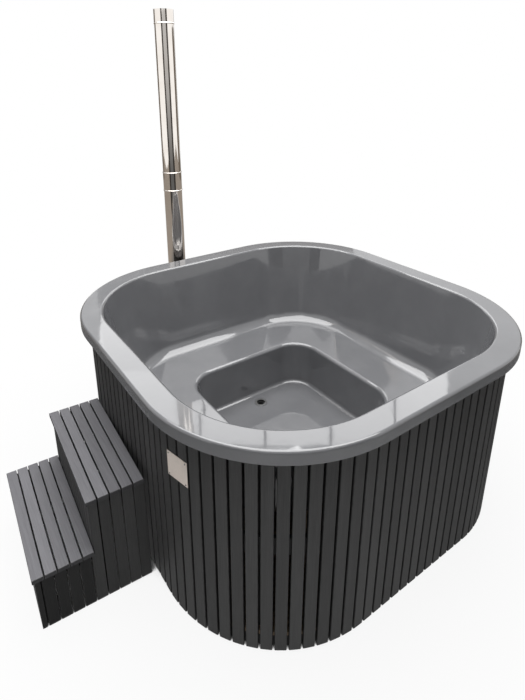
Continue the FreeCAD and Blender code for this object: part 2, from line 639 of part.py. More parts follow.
def heater_line():
    """Two water lines: left footwell wall, under the bench, out at the back and round to the stove."""
    stub_y = FLUE_Y + STUB_FROM_FLUE
    pipe_end = V(0, SLAT_FACE + WATER_STUB, 0)
    stub_end = V(STOVE_LEFT - WATER_STUB, stub_y, 0)
    inner = WATER_PIPE_RADIUS - WATER_PIPE_WALL
    fittings = []
    nuts = []
    sleeves = []
    clips = []
    for name, z in zip(("lower", "upper"), WATER_LEVELS):
        fitting, nut, stem_end = wall_fitting(z)
        fittings.append(fitting)
        nuts.append(nut)
        inside = [
            V(stem_end + SOCKET_DEPTH, WATER_Y, z),
            V(WATER_RUN_X, WATER_Y, z),
            V(WATER_RUN_X, pipe_end.y, z),
        ]
        save("heater_pipe_" + name, bent_tube(inside, WATER_BEND_RADIUS, WATER_PIPE_RADIUS, inner))
        outside = [
            V(WATER_RUN_X, pipe_end.y + JOINT_GAP, z),
            V(WATER_RUN_X, stub_y, z),
            V(stub_end.x - JOINT_GAP, stub_y, z),
        ]
        save("heater_bend_" + name, bent_tube(outside, OUTSIDE_BEND_RADIUS, WATER_PIPE_RADIUS, inner))
        for middle, direction in ((inside[-1], Y_AXIS), (outside[-1], X_AXIS)):
            sleeves.append(joint_sleeve(middle, direction))
            reach = SLEEVE_HALF_LENGTH - CLIP_WIDTH
            clips.append(sleeve_clip(middle - direction * reach, direction))
            clips.append(sleeve_clip(middle + direction * reach, direction))
    save("heater_fittings", fittings)
    save("heater_nuts", nuts)
    save("heater_sleeves", sleeves)
    save("sleeve_clips", clips)


def wall_fitting(z):
    """Flanged fitting through the left footwell wall, its nut, and the x where its stem ends."""
    wet, dry = pad_faces(z)
    bore = WATER_PIPE_RADIUS + SOCKET_GAP
    stem = bore + DRAIN_STEM_WALL
    stem_end = dry - DRAIN_NUT - STEM_BEYOND_NUT
    start = V(stem_end, WATER_Y, z)
    fitting = rod(stem + WATER_FLANGE_LIP, V(wet, WATER_Y, z), X_AXIS, WATER_FLANGE)
    fitting = fitting.fuse(rod(stem, start, X_AXIS, wet - stem_end))
    fitting = fitting.cut(rod(bore, start, X_AXIS, wet + WATER_FLANGE - stem_end))
    nut_start = V(dry - DRAIN_NUT, WATER_Y, z)
    nut = tube(stem + WATER_NUT_LIP, stem + FIT_GAP, nut_start, X_AXIS, DRAIN_NUT)
    return fitting, nut, stem_end


def joint_sleeve(middle, direction):
    """Rubber sleeve over the butt joint of two pipes."""
    bore = WATER_PIPE_RADIUS + SOCKET_GAP
    start = middle - direction * SLEEVE_HALF_LENGTH
    return tube(bore + SLEEVE_WALL, bore, start, direction, 2 * SLEEVE_HALF_LENGTH)


def sleeve_clip(middle, direction):
    """Worm-drive band round a sleeve, with its screw housing on top."""
    inner = WATER_PIPE_RADIUS + SOCKET_GAP + SLEEVE_WALL + FIT_GAP
    outer = inner + CLIP_THICKNESS
    start = middle - direction * (CLIP_WIDTH / 2)
    band = rod(outer, start, direction, CLIP_WIDTH)
    half = CLIP_SCREW_SIZE / 2
    low = middle + Z_AXIS * (inner + half)
    housing = box(low.x - half, low.x + half, low.y - half, low.y + half, low.z - half, low.z + half)
    through = rod(inner, start - direction * CUT_PAST, direction, CLIP_WIDTH + 2 * CUT_PAST)
    return band.fuse(housing).cut(through)


def panel_box(x0, x1, y0, y1, z0, z1, wall, flue_hole):
    """Welded sheets of a box that is open at the front: bottom, top, two sides and back."""
    bottom = box(x0, x1, y0, y1, z0, z0 + wall)
    top = box(x0, x1, y0, y1, z1 - wall, z1).cut(rod(flue_hole, V(FLUE_X, FLUE_Y, z0), Z_AXIS, z1 - z0))
    left = box(x0, x0 + wall, y0, y1, z0 + wall, z1 - wall)
    right = box(x1 - wall, x1, y0, y1, z0 + wall, z1 - wall)
    back = box(x0 + wall, x1 - wall, y0, y0 + wall, z0 + wall, z1 - wall)
    return bottom, top, left, right, back


def stove_body():
    """Casing of the water jacket, with the two water stubs in its left side, on four feet."""
    end = STOVE_LEFT + STOVE_WIDTH
    flue_hole = FLUE_RADIUS - FLUE_WALL - SOCKET_GAP
    bottom, top, left, right, back = panel_box(
        STOVE_LEFT, end, STOVE_BACK, STOVE_FRONT, STOVE_FOOT, STOVE_TOP, CASING_WALL, flue_hole)
    stubs = []
    stub_y = FLUE_Y + STUB_FROM_FLUE
    for z in WATER_LEVELS:
        stub_end = V(STOVE_LEFT - WATER_STUB, stub_y, z)
        stub = rod(WATER_PIPE_RADIUS, stub_end, X_AXIS, WATER_STUB + CASING_WALL)
        collar = V(STOVE_LEFT - CASING_WALL, stub_y, z)
        stub = stub.fuse(rod(WATER_PIPE_RADIUS + STUB_COLLAR, collar, X_AXIS, CASING_WALL))
        stubs.append(stub.cut(rod(WATER_PIPE_RADIUS - WATER_PIPE_WALL, stub_end, X_AXIS, STOVE_WIDTH)))
        left = left.cut(rod(WATER_PIPE_RADIUS + FIT_GAP, stub_end, X_AXIS, STOVE_WIDTH / 2))
    save("stove_casing", [bottom, top, left, right, back])
    save("stove_water_stubs", stubs)
    s = STOVE_FOOT_SIZE
    feet = []
    for x in (STOVE_LEFT, end - s):
        for y in (STOVE_BACK, STOVE_FRONT - s):
            feet.append(box(x, x + s, y, y + s, 0, STOVE_FOOT))
    save("stove_feet", feet)


def firebox():
    """Inner fire chamber with two ledges for the grate; open at the front."""
    x = FIREBOX_HALF
    t = FIREBOX_WALL
    flue_hole = FLUE_RADIUS - FLUE_WALL - SOCKET_GAP
    sheets = list(panel_box(
        FLUE_X - x, FLUE_X + x, FIREBOX_BACK, STOVE_FRONT, FIREBOX_BOTTOM, FIREBOX_TOP, t, flue_hole))
    for start in (FLUE_X - x + t, FLUE_X + x - t - LEDGE):
        end = STOVE_FRONT - LEDGE
        sheets.append(box(start, start + LEDGE, FIREBOX_BACK + t, end, GRATE_BOTTOM - LEDGE, GRATE_BOTTOM))
    save("stove_firebox", sheets)


def grate():
    x = FIREBOX_HALF - FIREBOX_WALL - GRATE_GAP
    back = FIREBOX_BACK + FIREBOX_WALL + GRATE_GAP
    front = STOVE_FRONT - LEDGE
    top = GRATE_BOTTOM + GRATE_THICKNESS
    casting = box(FLUE_X - x, FLUE_X + x, back, front, GRATE_BOTTOM, top)
    pitch = GRATE_SLOT + GRATE_BAR
    count = int((2 * (x - GRATE_BORDER) + GRATE_BAR) // pitch)
    first = FLUE_X - (count * pitch - GRATE_BAR) / 2
    for i in range(count):
        start = first + i * pitch
        slot = box(start, start + GRATE_SLOT, back + GRATE_BORDER, front - GRATE_BORDER, GRATE_BOTTOM, top)
        casting = casting.cut(slot)
    save("stove_grate", casting)


def front_plate():
    """Plate over the front of the casing and firebox: door opening, drawer opening and hinge lugs."""
    right = STOVE_LEFT + STOVE_WIDTH
    plate = box(STOVE_LEFT, right, STOVE_FRONT, PLATE_FACE, STOVE_FOOT, STOVE_TOP)
    x = DOOR_OPENING_WIDTH / 2
    top = DOOR_OPENING_BOTTOM + DOOR_OPENING_HEIGHT
    plate = plate.cut(box(FLUE_X - x, FLUE_X + x, STOVE_FRONT, PLATE_FACE, DOOR_OPENING_BOTTOM, top))
    x = DRAWER_WIDTH / 2 + DRAWER_GAP
    drawer_top = FIREBOX_FLOOR + FIT_GAP + DRAWER_HEIGHT + DRAWER_GAP
    plate = plate.cut(box(FLUE_X - x, FLUE_X + x, STOVE_FRONT, PLATE_FACE, FIREBOX_FLOOR, drawer_top))
    for z in hinge_levels():
        foot = V(HINGE_X, HINGE_Y, z - HINGE_LUG_HEIGHT - FIT_GAP)
        top = foot.z + HINGE_LUG_HEIGHT
        r = HINGE_BARREL_RADIUS
        lug = rod(r, foot, Z_AXIS, HINGE_LUG_HEIGHT)
        lug = lug.fuse(box(HINGE_X - r, HINGE_X + r, PLATE_FACE, HINGE_Y, foot.z, top))
        plate = plate.fuse(lug.cut(rod(HINGE_PIN_RADIUS + RUNNING_GAP, foot, Z_AXIS, HINGE_LUG_HEIGHT)))
    save("stove_front_plate", plate)


def hinge_levels():
    """Heights of the underside of the two door barrels."""
    low = DOOR_OPENING_BOTTOM - DOOR_LAP + HINGE_INSET
    high = DOOR_OPENING_BOTTOM + DOOR_OPENING_HEIGHT + DOOR_LAP - HINGE_INSET - HINGE_BARREL_HEIGHT
    return low, high


def door():
    bottom = DOOR_OPENING_BOTTOM - DOOR_LAP
    top = DOOR_OPENING_BOTTOM + DOOR_OPENING_HEIGHT + DOOR_LAP
    left = FLUE_X + DOOR_LEFT
    right = FLUE_X - DOOR_LEFT
    front = DOOR_BACK + DOOR_THICKNESS
    leaf = box(left, right, DOOR_BACK, front, bottom, top)
    pins = []
    for z in hinge_levels():
        barrel = rod(HINGE_BARREL_RADIUS, V(HINGE_X, HINGE_Y, z), Z_AXIS, HINGE_BARREL_HEIGHT)
        barrel = barrel.fuse(box(HINGE_X, left + DOOR_LAP / 2, DOOR_BACK, front, z, z + HINGE_BARREL_HEIGHT))
        leaf = leaf.fuse(barrel)
        hole = rod(HINGE_PIN_RADIUS + RUNNING_GAP, V(HINGE_X, HINGE_Y, z), Z_AXIS, HINGE_BARREL_HEIGHT)
        leaf = leaf.cut(hole)
        foot = z - HINGE_LUG_HEIGHT - FIT_GAP
        head = z + HINGE_BARREL_HEIGHT + FIT_GAP
        pin = rod(HINGE_PIN_RADIUS, V(HINGE_X, HINGE_Y, foot), Z_AXIS, head - foot)
        pins.append(pin.fuse(rod(HINGE_BARREL_RADIUS, V(HINGE_X, HINGE_Y, head), Z_AXIS, HINGE_PIN_HEAD)))
    leaf = leaf.cut(rod(LATCH_RADIUS + RUNNING_GAP, V(LATCH_X, DOOR_BACK, LATCH_Z), Y_AXIS, DOOR_THICKNESS))
    save("stove_door", leaf.removeSplitter())
    save("door_hinge_pins", pins)
    x = DOOR_OPENING_WIDTH / 2 + GASKET_WIDTH
    low = DOOR_OPENING_BOTTOM
    high = DOOR_OPENING_BOTTOM + DOOR_OPENING_HEIGHT
    back = DOOR_BACK - GASKET_THICKNESS
    rope = box(FLUE_X - x, FLUE_X + x, back, DOOR_BACK, low - GASKET_WIDTH, high + GASKET_WIDTH)
    x -= GASKET_WIDTH
    save("door_gasket", rope.cut(box(FLUE_X - x, FLUE_X + x, back, DOOR_BACK, low, high)))


def latch():
    """Turn latch: spindle with a tongue behind the front plate, and a handle outside. Both hang at rest."""
    tongue_back = STOVE_FRONT - LATCH_BEHIND_PLATE - LATCH_TONGUE_THICKNESS
    handle_back = DOOR_BACK + DOOR_THICKNESS + FIT_GAP
    spindle_end = handle_back + HANDLE_THICKNESS
    axis = V(LATCH_X, tongue_back, LATCH_Z)
    spindle = rod(LATCH_RADIUS, axis, Y_AXIS, spindle_end - tongue_back)
    spindle = spindle.fuse(rod(LATCH_HUB_RADIUS, axis, Y_AXIS, DOOR_BACK - FIT_GAP - tongue_back))
    w = LATCH_TONGUE_WIDTH / 2
    tongue_front = tongue_back + LATCH_TONGUE_THICKNESS
    tongue = box(LATCH_X - w, LATCH_X + w, tongue_back, tongue_front, LATCH_Z - LATCH_TONGUE, LATCH_Z)
    save("latch_spindle", spindle.fuse(tongue))
    hub = V(LATCH_X, handle_back, LATCH_Z)
    handle = rod(LATCH_HUB_RADIUS, hub, Y_AXIS, HANDLE_THICKNESS)
    w = HANDLE_WIDTH / 2
    low = LATCH_Z - HANDLE_LENGTH
    handle = handle.fuse(box(LATCH_X - w, LATCH_X + w, handle_back, spindle_end, low, LATCH_Z))
    handle = handle.fuse(rod(w, V(LATCH_X, handle_back, low), Y_AXIS, HANDLE_THICKNESS)).removeSplitter()
    save("door_handle", handle.cut(rod(LATCH_RADIUS + RUNNING_GAP, hub, Y_AXIS, HANDLE_THICKNESS)))


def ash_drawer():
    x = DRAWER_WIDTH / 2
    bottom = FIREBOX_FLOOR + FIT_GAP
    top = bottom + DRAWER_HEIGHT
    front = PLATE_FACE + FIT_GAP
    back = front - DRAWER_DEPTH
    t = DRAWER_WALL
    pan = box(FLUE_X - x, FLUE_X + x, back, front, bottom, top)
    pan = pan.cut(box(FLUE_X - x + t, FLUE_X + x - t, back + t, front, bottom + t, top))
    lap = DRAWER_FRONT_LAP
    face = box(FLUE_X - x - lap, FLUE_X + x + lap, front, front + DRAWER_FRONT, bottom - lap, top + lap)
    save("ash_drawer", pan.fuse(face).removeSplitter())
    start = V(FLUE_X, front + DRAWER_FRONT, (bottom + top) / 2)
    knob = rod(KNOB_NECK_RADIUS, start, Y_AXIS, KNOB_NECK)
    save("drawer_knob", knob.fuse(rod(KNOB_RADIUS, start + Y_AXIS * KNOB_NECK, Y_AXIS, KNOB_THICKNESS)))


def bead(z, radius):
    """Rounded ring standing out from a pipe of the given radius."""
    half = FLUE_BEAD_HEIGHT / 2
    arc = Part.Arc(V(radius, 0, z - half), V(radius + FLUE_BEAD, 0, z), V(radius, 0, z + half)).toShape()
    inner = radius - FLUE_WALL / 2
    sides = Part.makePolygon([V(radius, 0, z + half), V(inner, 0, z + half), V(inner, 0, z - half),
                              V(radius, 0, z - half)])
    face = Part.Face(Part.Wire([arc] + sides.Edges))
    solid = face.revolve(V(0, 0, 0), Z_AXIS, 360)
    solid.translate(V(FLUE_X, FLUE_Y, 0))
    return solid


def flue():
    """Collar on the stove, then two pipes that meet inside a beaded coupling; the top end is a socket."""
    foot = V(FLUE_X, FLUE_Y, STOVE_TOP)
    inner = FLUE_RADIUS - FLUE_WALL
    collar = inner - 2 * SOCKET_GAP
    start = V(FLUE_X, FLUE_Y, FIREBOX_TOP - FIREBOX_WALL)
    collar_length = STOVE_TOP + FLUE_COLLAR_RISE - start.z
    save("flue_collar", tube(collar, collar - FLUE_COLLAR_WALL, start, Z_AXIS, collar_length))
    meeting = (COUPLING_BOTTOM + COUPLING_TOP) / 2
    save("flue_lower", tube(FLUE_RADIUS, inner, foot, Z_AXIS, meeting - STOVE_TOP))
    bore = FLUE_RADIUS + SOCKET_GAP
    end_bead = FLUE_TOP - FLUE_END_BEAD_DROP
    socket_start = end_bead - FLUE_BEAD_HEIGHT / 2
    upper = tube(FLUE_RADIUS, inner, V(FLUE_X, FLUE_Y, meeting), Z_AXIS, socket_start - meeting)
    shoulder = V(FLUE_X, FLUE_Y, socket_start - FLUE_WALL)
    upper = upper.fuse(tube(bore + FLUE_WALL, inner, shoulder, Z_AXIS, FLUE_WALL))
    socket = V(FLUE_X, FLUE_Y, socket_start)
    upper = upper.fuse(tube(bore + FLUE_WALL, bore, socket, Z_AXIS, FLUE_TOP - socket_start))
    save("flue_upper", upper.fuse(bead(end_bead, bore + FLUE_WALL)).removeSplitter())
    sleeve_start = V(FLUE_X, FLUE_Y, COUPLING_BOTTOM)
    sleeve = tube(bore + FLUE_WALL, bore, sleeve_start, Z_AXIS, COUPLING_TOP - COUPLING_BOTTOM)
    for z in (COUPLING_BOTTOM + FLUE_BEAD_HEIGHT / 2, COUPLING_TOP - FLUE_BEAD_HEIGHT / 2):
        sleeve = sleeve.fuse(bead(z, bore + FLUE_WALL))
    save("flue_coupling", sleeve)


def step_box(out0, out1, y0, y1, z0, z1):
    """Box measured outward from the tub side of the steps."""
    return box(STEP_X - out1, STEP_X - out0, y0, y1, z0, z1)


def save_step(name, boards):
    """Write one node of the steps, turned with the others so that their back still meets the rounded corner."""
    corner_middle = V(-CORNER, CORNER, 0)
    save(name, [board.rotated(corner_middle, Z_AXIS, -STEP_TURN) for board in boards])


def tread(name, start, top):
    boards = []
    for i in range(TREAD_BOARDS):
        out = start + i * STEP_PITCH
        bottom = top - STEP_BOARD_THICKNESS
        board = step_box(out, out + STEP_BOARD, STEP_NEAR_Y, STEP_FAR_Y, bottom, top)
        upper_edges = [e for e in board.Edges if e.BoundBox.ZMin > top - STEP_BOARD_EDGE]
        boards.append(board.makeChamfer(STEP_BOARD_EDGE, upper_edges))
    save_step(name, boards)


def side_boards(name, y0, y1):
    """Upright boards on one end of the steps; the fifth is notched for the lower tread."""
    lower_top = STEP_FIRST_RISE - STEP_BOARD_THICKNESS
    upper_top = STEP_TOP - STEP_BOARD_THICKNESS
    boards = []
    for i in range(SIDE_BOARDS):
        out = i * STEP_PITCH
        top = upper_top if i < TREAD_BOARDS else lower_top
        board = step_box(out, out + STEP_BOARD, y0, y1, STEP_GROUND_GAP, top)
        if i == TREAD_BOARDS - 1:
            board = board.cut(step_box(UPPER_RISER_FACE, out + STEP_BOARD, y0, y1, lower_top, upper_top))
        boards.append(board)
    save_step(name, boards)


def riser(name, face, y0, y1, bottom, top):
    """Upright boards across the front of a step, shared out over its length."""
    count = round((y1 - y0 + STEP_BOARD_GAP) / STEP_PITCH)
    width = (y1 - y0 + STEP_BOARD_GAP) / count - STEP_BOARD_GAP
    boards = []
    for i in range(count):
        y = y0 + i * (width + STEP_BOARD_GAP)
        boards.append(step_box(face - STEP_BOARD_THICKNESS, face, y, y + width, bottom, top))
    save_step(name, boards)


def step_frame():
    """Posts, rails and bearers under the treads."""
    t = STEP_TIMBER
    near = SIDE_BACK_Y
    far = STEP_FAR_Y - (SIDE_BACK_Y - STEP_NEAR_Y)
    upper = STEP_TOP - STEP_BOARD_THICKNESS
    lower = STEP_FIRST_RISE - STEP_BOARD_THICKNESS
    middle_out = UPPER_RISER_FACE - STEP_BOARD_THICKNESS - t
    front_out = LOWER_RISER_FACE - STEP_BOARD_THICKNESS - t
    posts = ((0.0, upper), (middle_out, upper), (front_out, lower))
    timbers = []
    for y in (near, far - t):
        for out, top in posts:
            timbers.append(step_box(out, out + t, y, y + t, 0, top))
        timbers.append(step_box(t, middle_out, y, y + t, upper - t, upper))
        timbers.append(step_box(middle_out + t, front_out, y, y + t, lower - t, lower))
    for out, top in posts:
        timbers.append(step_box(out, out + t, near + t, far - t, top - 2 * t, top - t))
    back_rail = middle_out + t
    timbers.append(step_box(back_rail, back_rail + t, near + t, far - t, lower - 2 * t, lower - t))
    y = STEP_MIDDLE_Y - t / 2
    timbers.append(step_box(0, back_rail, y, y + t, upper - t, upper))
    timbers.append(step_box(back_rail, front_out + t, y, y + t, lower - t, lower))
    save_step("step_frame", timbers)


def steps():
    tread("step_upper_tread", 0.0, STEP_TOP)
    tread("step_lower_tread", LOWER_TREAD_START, STEP_FIRST_RISE)
    side_boards("step_near_side", SIDE_FACE_Y, SIDE_BACK_Y)
    far_face = STEP_FAR_Y - TREAD_END_OVERHANG
    far_back = far_face - STEP_BOARD_THICKNESS
    side_boards("step_far_side", far_back, far_face)
    upper_top = STEP_TOP - STEP_BOARD_THICKNESS
    riser("step_upper_riser", UPPER_RISER_FACE, SIDE_BACK_Y, far_back, STEP_FIRST_RISE, upper_top)
    lower_top = STEP_FIRST_RISE - STEP_BOARD_THICKNESS
    riser("step_lower_riser", LOWER_RISER_FACE, SIDE_FACE_Y, far_face, STEP_GROUND_GAP, lower_top)
    step_frame()


os.makedirs("parts", exist_ok=True)
tub_shell()
cladding()
hoops()
rim_posts()
base()
bench_panels()
name_plate()
drain_fittings()
drain_valve()
heater_line()
stove_body()
firebox()
grate()
front_plate()
door()
latch()
ash_drawer()
flue()
steps()
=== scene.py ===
import bmesh
import bpy
import json
import math
from mathutils import Matrix, Vector


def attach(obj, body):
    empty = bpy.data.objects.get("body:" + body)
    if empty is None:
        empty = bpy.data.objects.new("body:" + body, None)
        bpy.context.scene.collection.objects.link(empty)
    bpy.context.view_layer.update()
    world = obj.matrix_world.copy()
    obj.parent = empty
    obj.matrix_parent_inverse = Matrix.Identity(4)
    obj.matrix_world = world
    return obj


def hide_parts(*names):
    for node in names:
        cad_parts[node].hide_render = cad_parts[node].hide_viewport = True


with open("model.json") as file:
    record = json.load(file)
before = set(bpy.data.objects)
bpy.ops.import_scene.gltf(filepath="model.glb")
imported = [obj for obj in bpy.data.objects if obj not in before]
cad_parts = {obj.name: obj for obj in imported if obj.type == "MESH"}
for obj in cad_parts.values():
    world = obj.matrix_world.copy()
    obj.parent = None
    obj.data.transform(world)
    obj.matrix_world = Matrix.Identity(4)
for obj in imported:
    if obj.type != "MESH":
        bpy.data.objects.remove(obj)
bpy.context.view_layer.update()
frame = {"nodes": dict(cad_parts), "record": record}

# Metres, +Z up, origin on the ground under the middle of the tub, front towards -Y.
X, Y, Z = range(3)
RIM_HALF = 1.0
RIM_TOP = 1.024
RIM_ROUND = 0.012
SKIRT_BOTTOM = 0.967
SKIRT_ROUND = 0.0025
SHELL_WALL = 0.008
CORNER = 0.355
OPENING_HALF = 0.8837
OPENING_ROUND = 0.014
WALL_FOOT_HALF = 0.7567
WALL_FOOT_ROUND = 0.080
WALL_BACK_TOP = 0.8901
WALL_BACK_FOOT = 0.7631
SEAT = 0.490
FOOTWELL_HALF = 0.428
FOOTWELL_FOOT = 0.416
FOOTWELL_CORNER = 0.266
FOOTWELL_LIP_ROUND = 0.022
FOOTWELL_FOOT_ROUND = 0.024
FLOOR = 0.205
FLOOR_MEETING = FOOTWELL_FOOT - 0.03
SEAT_MEETING = 0.690
FOOTWELL_MEETING = 0.470
DRAIN = Vector((0.030, 0.3192, 0.0))
DRAIN_HOLE = 0.02955
DRAIN_REACH = 0.05
DRAIN_BORE = 0.02525
DRAIN_PIPE_BORE = 0.0230
FITTING_Y = 0.150
FITTING_LEVELS = (0.276, 0.396)
FITTING_HOLE = 0.02655
HOLE_OVERRUN = 0.01
PAD_RADIUS = 0.042
PAD_PROUD = 0.0015
CORNER_STEPS = 26
ROUND_STEPS = 64
FLUE = Vector((-0.108, 1.160, 0.0))
FLUE_STEPS = 96
FLUE_RADIUS = 0.060
FLUE_WALL = 0.001
BEAD = 0.0025
BEAD_HALF = 0.004
CASING_TOP = 0.680
FLUE_MEETING = 1.534
COUPLING = (1.470, 1.598)
FLUE_TOP = 2.586
END_BEAD = 2.508
SOCKET_GAP = 0.00025
# Depth under the casing top over which the top's painted shade fades in.
HEAT_DEPTH = 0.004

# How a CAD node is read: points that are one, faces that are flat, edges that are eased, narrow
# faces, and the steps by which boards differ in tone.
SAME_POINT = 1e-5
FLAT_ANGLE = math.radians(0.5)
EDGE_ANGLE = math.radians(32)
NARROW_SHARE = 0.6
TONE_STEP = 0.618
NODE_TONE_STEP = 0.37

# The photograph's size and its solved camera; lengths in the picture are in pixels.
PICTURE_WIDTH = 525
PICTURE_HEIGHT = 700
FOCAL_LENGTH = 505.68
PICTURE_CENTRE = Vector((257.87, 250.45))
CAMERA = Vector((-1.5862, -1.9423, 2.1913))
CAMERA_TILT = math.radians(90 - 18.83)
CAMERA_HEADING = math.radians(-35.14)

# The studio: a big lamp behind the tub, bars before it as a window has, the floor, and a sheet just
# above the floor that shows in gloss alone.
KEY_PLACE = Vector((3.2, 4.45, 5.0))
KEY_TARGET = Vector((0.0, 0.0, 1.0))
KEY_TURN = (KEY_TARGET - KEY_PLACE).to_track_quat("-Z", "Y").to_matrix()
BAR_COUNT = 4
BAR_START = -2.2
BAR_SPACING = 1.15
BAR_BEFORE_LAMP = 0.06
BAR_HALF = (0.024, 1.3)
FLOOR_REACH = 40.0
COVER_HEIGHT = 2.0
SHEET_HEIGHT = 0.012
SHEET_REACH = 10.0


def keep(items, kind):
    return [item for item in items if isinstance(item, kind)]


def verts_in(items):
    return keep(items, bmesh.types.BMVert)


def edges_in(items):
    return keep(items, bmesh.types.BMEdge)


def finished(name, bm, material, body, nodes, sharp=40):
    """Turn a mesh into a piece that stands for its CAD nodes, with smooth curves and flat flats."""
    mesh = bpy.data.meshes.new(name)
    bm.to_mesh(mesh)
    bm.free()
    mesh.materials.append(material)
    mesh.shade_smooth()
    mesh.set_sharp_from_angle(angle=math.radians(sharp))
    piece = bpy.data.objects.new(name, mesh)
    bpy.context.collection.objects.link(piece)
    flats = piece.modifiers.new("flat_faces", "WEIGHTED_NORMAL")
    flats.keep_sharp = True
    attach(piece, body)
    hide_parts(*nodes)


def body_of(node):
    for body, nodes in frame["record"]["behaviour"]["bodies"].items():
        if node in nodes:
            return body


def solids(mesh):
    """Faces of a CAD node, sorted into its separate closed solids."""
    groups = []
    current = []
    unmatched = set()
    for face in mesh.polygons:
        corners = [tuple(round(c, 6) for c in mesh.vertices[i].co) for i in face.vertices]
        for a, b in zip(corners, corners[1:] + corners[:1]):
            if (b, a) in unmatched:
                unmatched.remove((b, a))
            else:
                unmatched.add((a, b))
        current.append(face.index)
        if not unmatched:
            groups.append(current)
            current = []
    if current:
        groups.append(current)
    return groups


def softened(node, material, edge, segments):
    """Copy of a CAD node with clean faces and eased edges; each solid gets its own tone."""
    mesh = frame["nodes"][node].data
    bm = bmesh.new()
    bm.from_mesh(mesh)
    bm.faces.ensure_lookup_table()
    tone = bm.faces.layers.float.new("tone")
    rub = bm.faces.layers.float.new("rub")
    side = bm.faces.layers.float.new("side")
    sets = [[bm.faces[i] for i in group] for group in solids(mesh)]
    for number, faces in enumerate(sets):
        for face in faces:
            face[tone] = (number * TONE_STEP + len(node) * NODE_TONE_STEP) % 1.0
    for faces in sets:
        own = list(dict.fromkeys(v for face in faces for v in face.verts))
        bmesh.ops.remove_doubles(bm, verts=own, dist=SAME_POINT)
    bmesh.ops.dissolve_limit(bm, angle_limit=FLAT_ANGLE, verts=bm.verts, edges=bm.edges)
    # Narrow faces get side = 1; the board materials paint them darker as painted shade for the sides seen
    # in the gaps.
    broad = max(face.calc_area() for face in bm.faces)
    for face in bm.faces:
        face[side] = float(face.calc_area() < NARROW_SHARE * broad)
    sharp = [e for e in bm.edges if e.is_manifold and e.calc_face_angle() > EDGE_ANGLE]
    made = bmesh.ops.bevel(bm, geom=sharp, offset=edge, offset_type="OFFSET", segments=segments,
                           profile=0.5, affect="EDGES", material=-1, clamp_overlap=True)
    for face in made["faces"]:
        face[rub] = 1.0
    finished(node + "_piece", bm, material, body_of(node), [node])


def profile(bm, corners):
    """Open line of points across the front wall; a corner with a radius is rounded."""
    start = [bm.verts.new((-CORNER, -half, z)) for half, z, radius, steps in corners]
    for pair in zip(start, start[1:]):
        bm.edges.new(pair)
    kept = set(bm.verts) - set(start)
    for vert, (half, z, radius, steps) in zip(start, corners):
        if radius:
            one, two = [edge.other_vert(vert).co - vert.co for edge in vert.link_edges]
            reach = radius / math.tan(one.angle(two) / 2)
            bmesh.ops.bevel(bm, geom=[vert], offset=reach, offset_type="OFFSET", segments=steps,
                            profile=0.5, affect="VERTICES", material=-1, clamp_overlap=False)
    return [edge for edge in bm.edges if not edge.link_faces and not kept.intersection(edge.verts)]


def carried_round(bm, edges, corner):
    """Carry a profile once round a square whose corners are arcs about (+-corner, +-corner)."""
    own = {vert for edge in edges for vert in edge.verts}
    bmesh.ops.translate(bm, verts=list(own), vec=(CORNER - corner, 0, 0))
    for quarter in range(4):
        turn = Matrix.Rotation(quarter * math.pi / 2, 3, "Z")
        out = bmesh.ops.extrude_edge_only(bm, edges=edges)["geom"]
        bmesh.ops.translate(bm, verts=verts_in(out), vec=turn @ Vector((2 * corner, 0, 0)))
        centre = turn @ Vector((corner, -corner, 0))
        out = bmesh.ops.spin(bm, geom=verts_in(out) + edges_in(out), cent=centre, axis=(0, 0, 1),
                             angle=math.pi / 2, steps=CORNER_STEPS, use_merge=False)["geom_last"]
        edges = edges_in(out)
    bmesh.ops.remove_doubles(bm, verts=bm.verts, dist=SAME_POINT)


def open_edges(bm, z):
    """Edges at a height that still lack a face."""
    bare = [edge for edge in bm.edges if not edge.is_manifold]
    return [edge for edge in bare if all(abs(vert.co.z - z) < SAME_POINT for vert in edge.verts)]


def drain_edges(bm, z):
    """The open edges at a height that lie round the drain hole."""
    near = [vert for vert in bm.verts if (vert.co.xy - DRAIN.xy).length < DRAIN_REACH]
    return [edge for edge in open_edges(bm, z) if all(vert in near for vert in edge.verts)]


def filled(bm, z):
    """Close the flat ring between the two open outlines at a height."""
    bmesh.ops.triangle_fill(bm, edges=open_edges(bm, z), normal=(0, 0, 1), use_beauty=True)


def carved(bm, tool, operation):
    """The shape after a second shape is joined to it or taken from it."""
    pair = []
    for shape in (bm, tool):
        mesh = bpy.data.meshes.new("carving")
        shape.to_mesh(mesh)
        shape.free()
        pair.append(bpy.data.objects.new("carving", mesh))
        bpy.context.collection.objects.link(pair[-1])
    cut = pair[0].modifiers.new("cut", "BOOLEAN")
    cut.object = pair[1]
    cut.operation = operation
    cut.solver = "EXACT"
    result = bpy.data.meshes.new_from_object(pair[0].evaluated_get(bpy.context.evaluated_depsgraph_get()))
    out = bmesh.new()
    out.from_mesh(result)
    bpy.data.meshes.remove(result)
    for item in pair:
        mesh = item.data
        bpy.data.objects.remove(item)
        bpy.data.meshes.remove(mesh)
    return out


def footwell_half(z):
    return FOOTWELL_HALF - (FOOTWELL_HALF - FOOTWELL_FOOT) * (SEAT - z) / (SEAT - FLOOR)


def fitting_rods(radius, beyond):
    """Short level rods through the left footwell wall, one at each heater fitting."""
    bm = bmesh.new()
    for z in FITTING_LEVELS:
        wet = -footwell_half(z - PAD_RADIUS) + PAD_PROUD + beyond
        dry = -footwell_half(z + PAD_RADIUS) - SHELL_WALL - PAD_PROUD - beyond
        place = Matrix.Translation(((wet + dry) / 2, FITTING_Y, z)) @ Matrix.Rotation(math.pi / 2, 4, "Y")
        bmesh.ops.create_cone(bm, cap_ends=True, segments=ROUND_STEPS, radius1=radius, radius2=radius,
                              depth=wet - dry, matrix=place)
    return bm


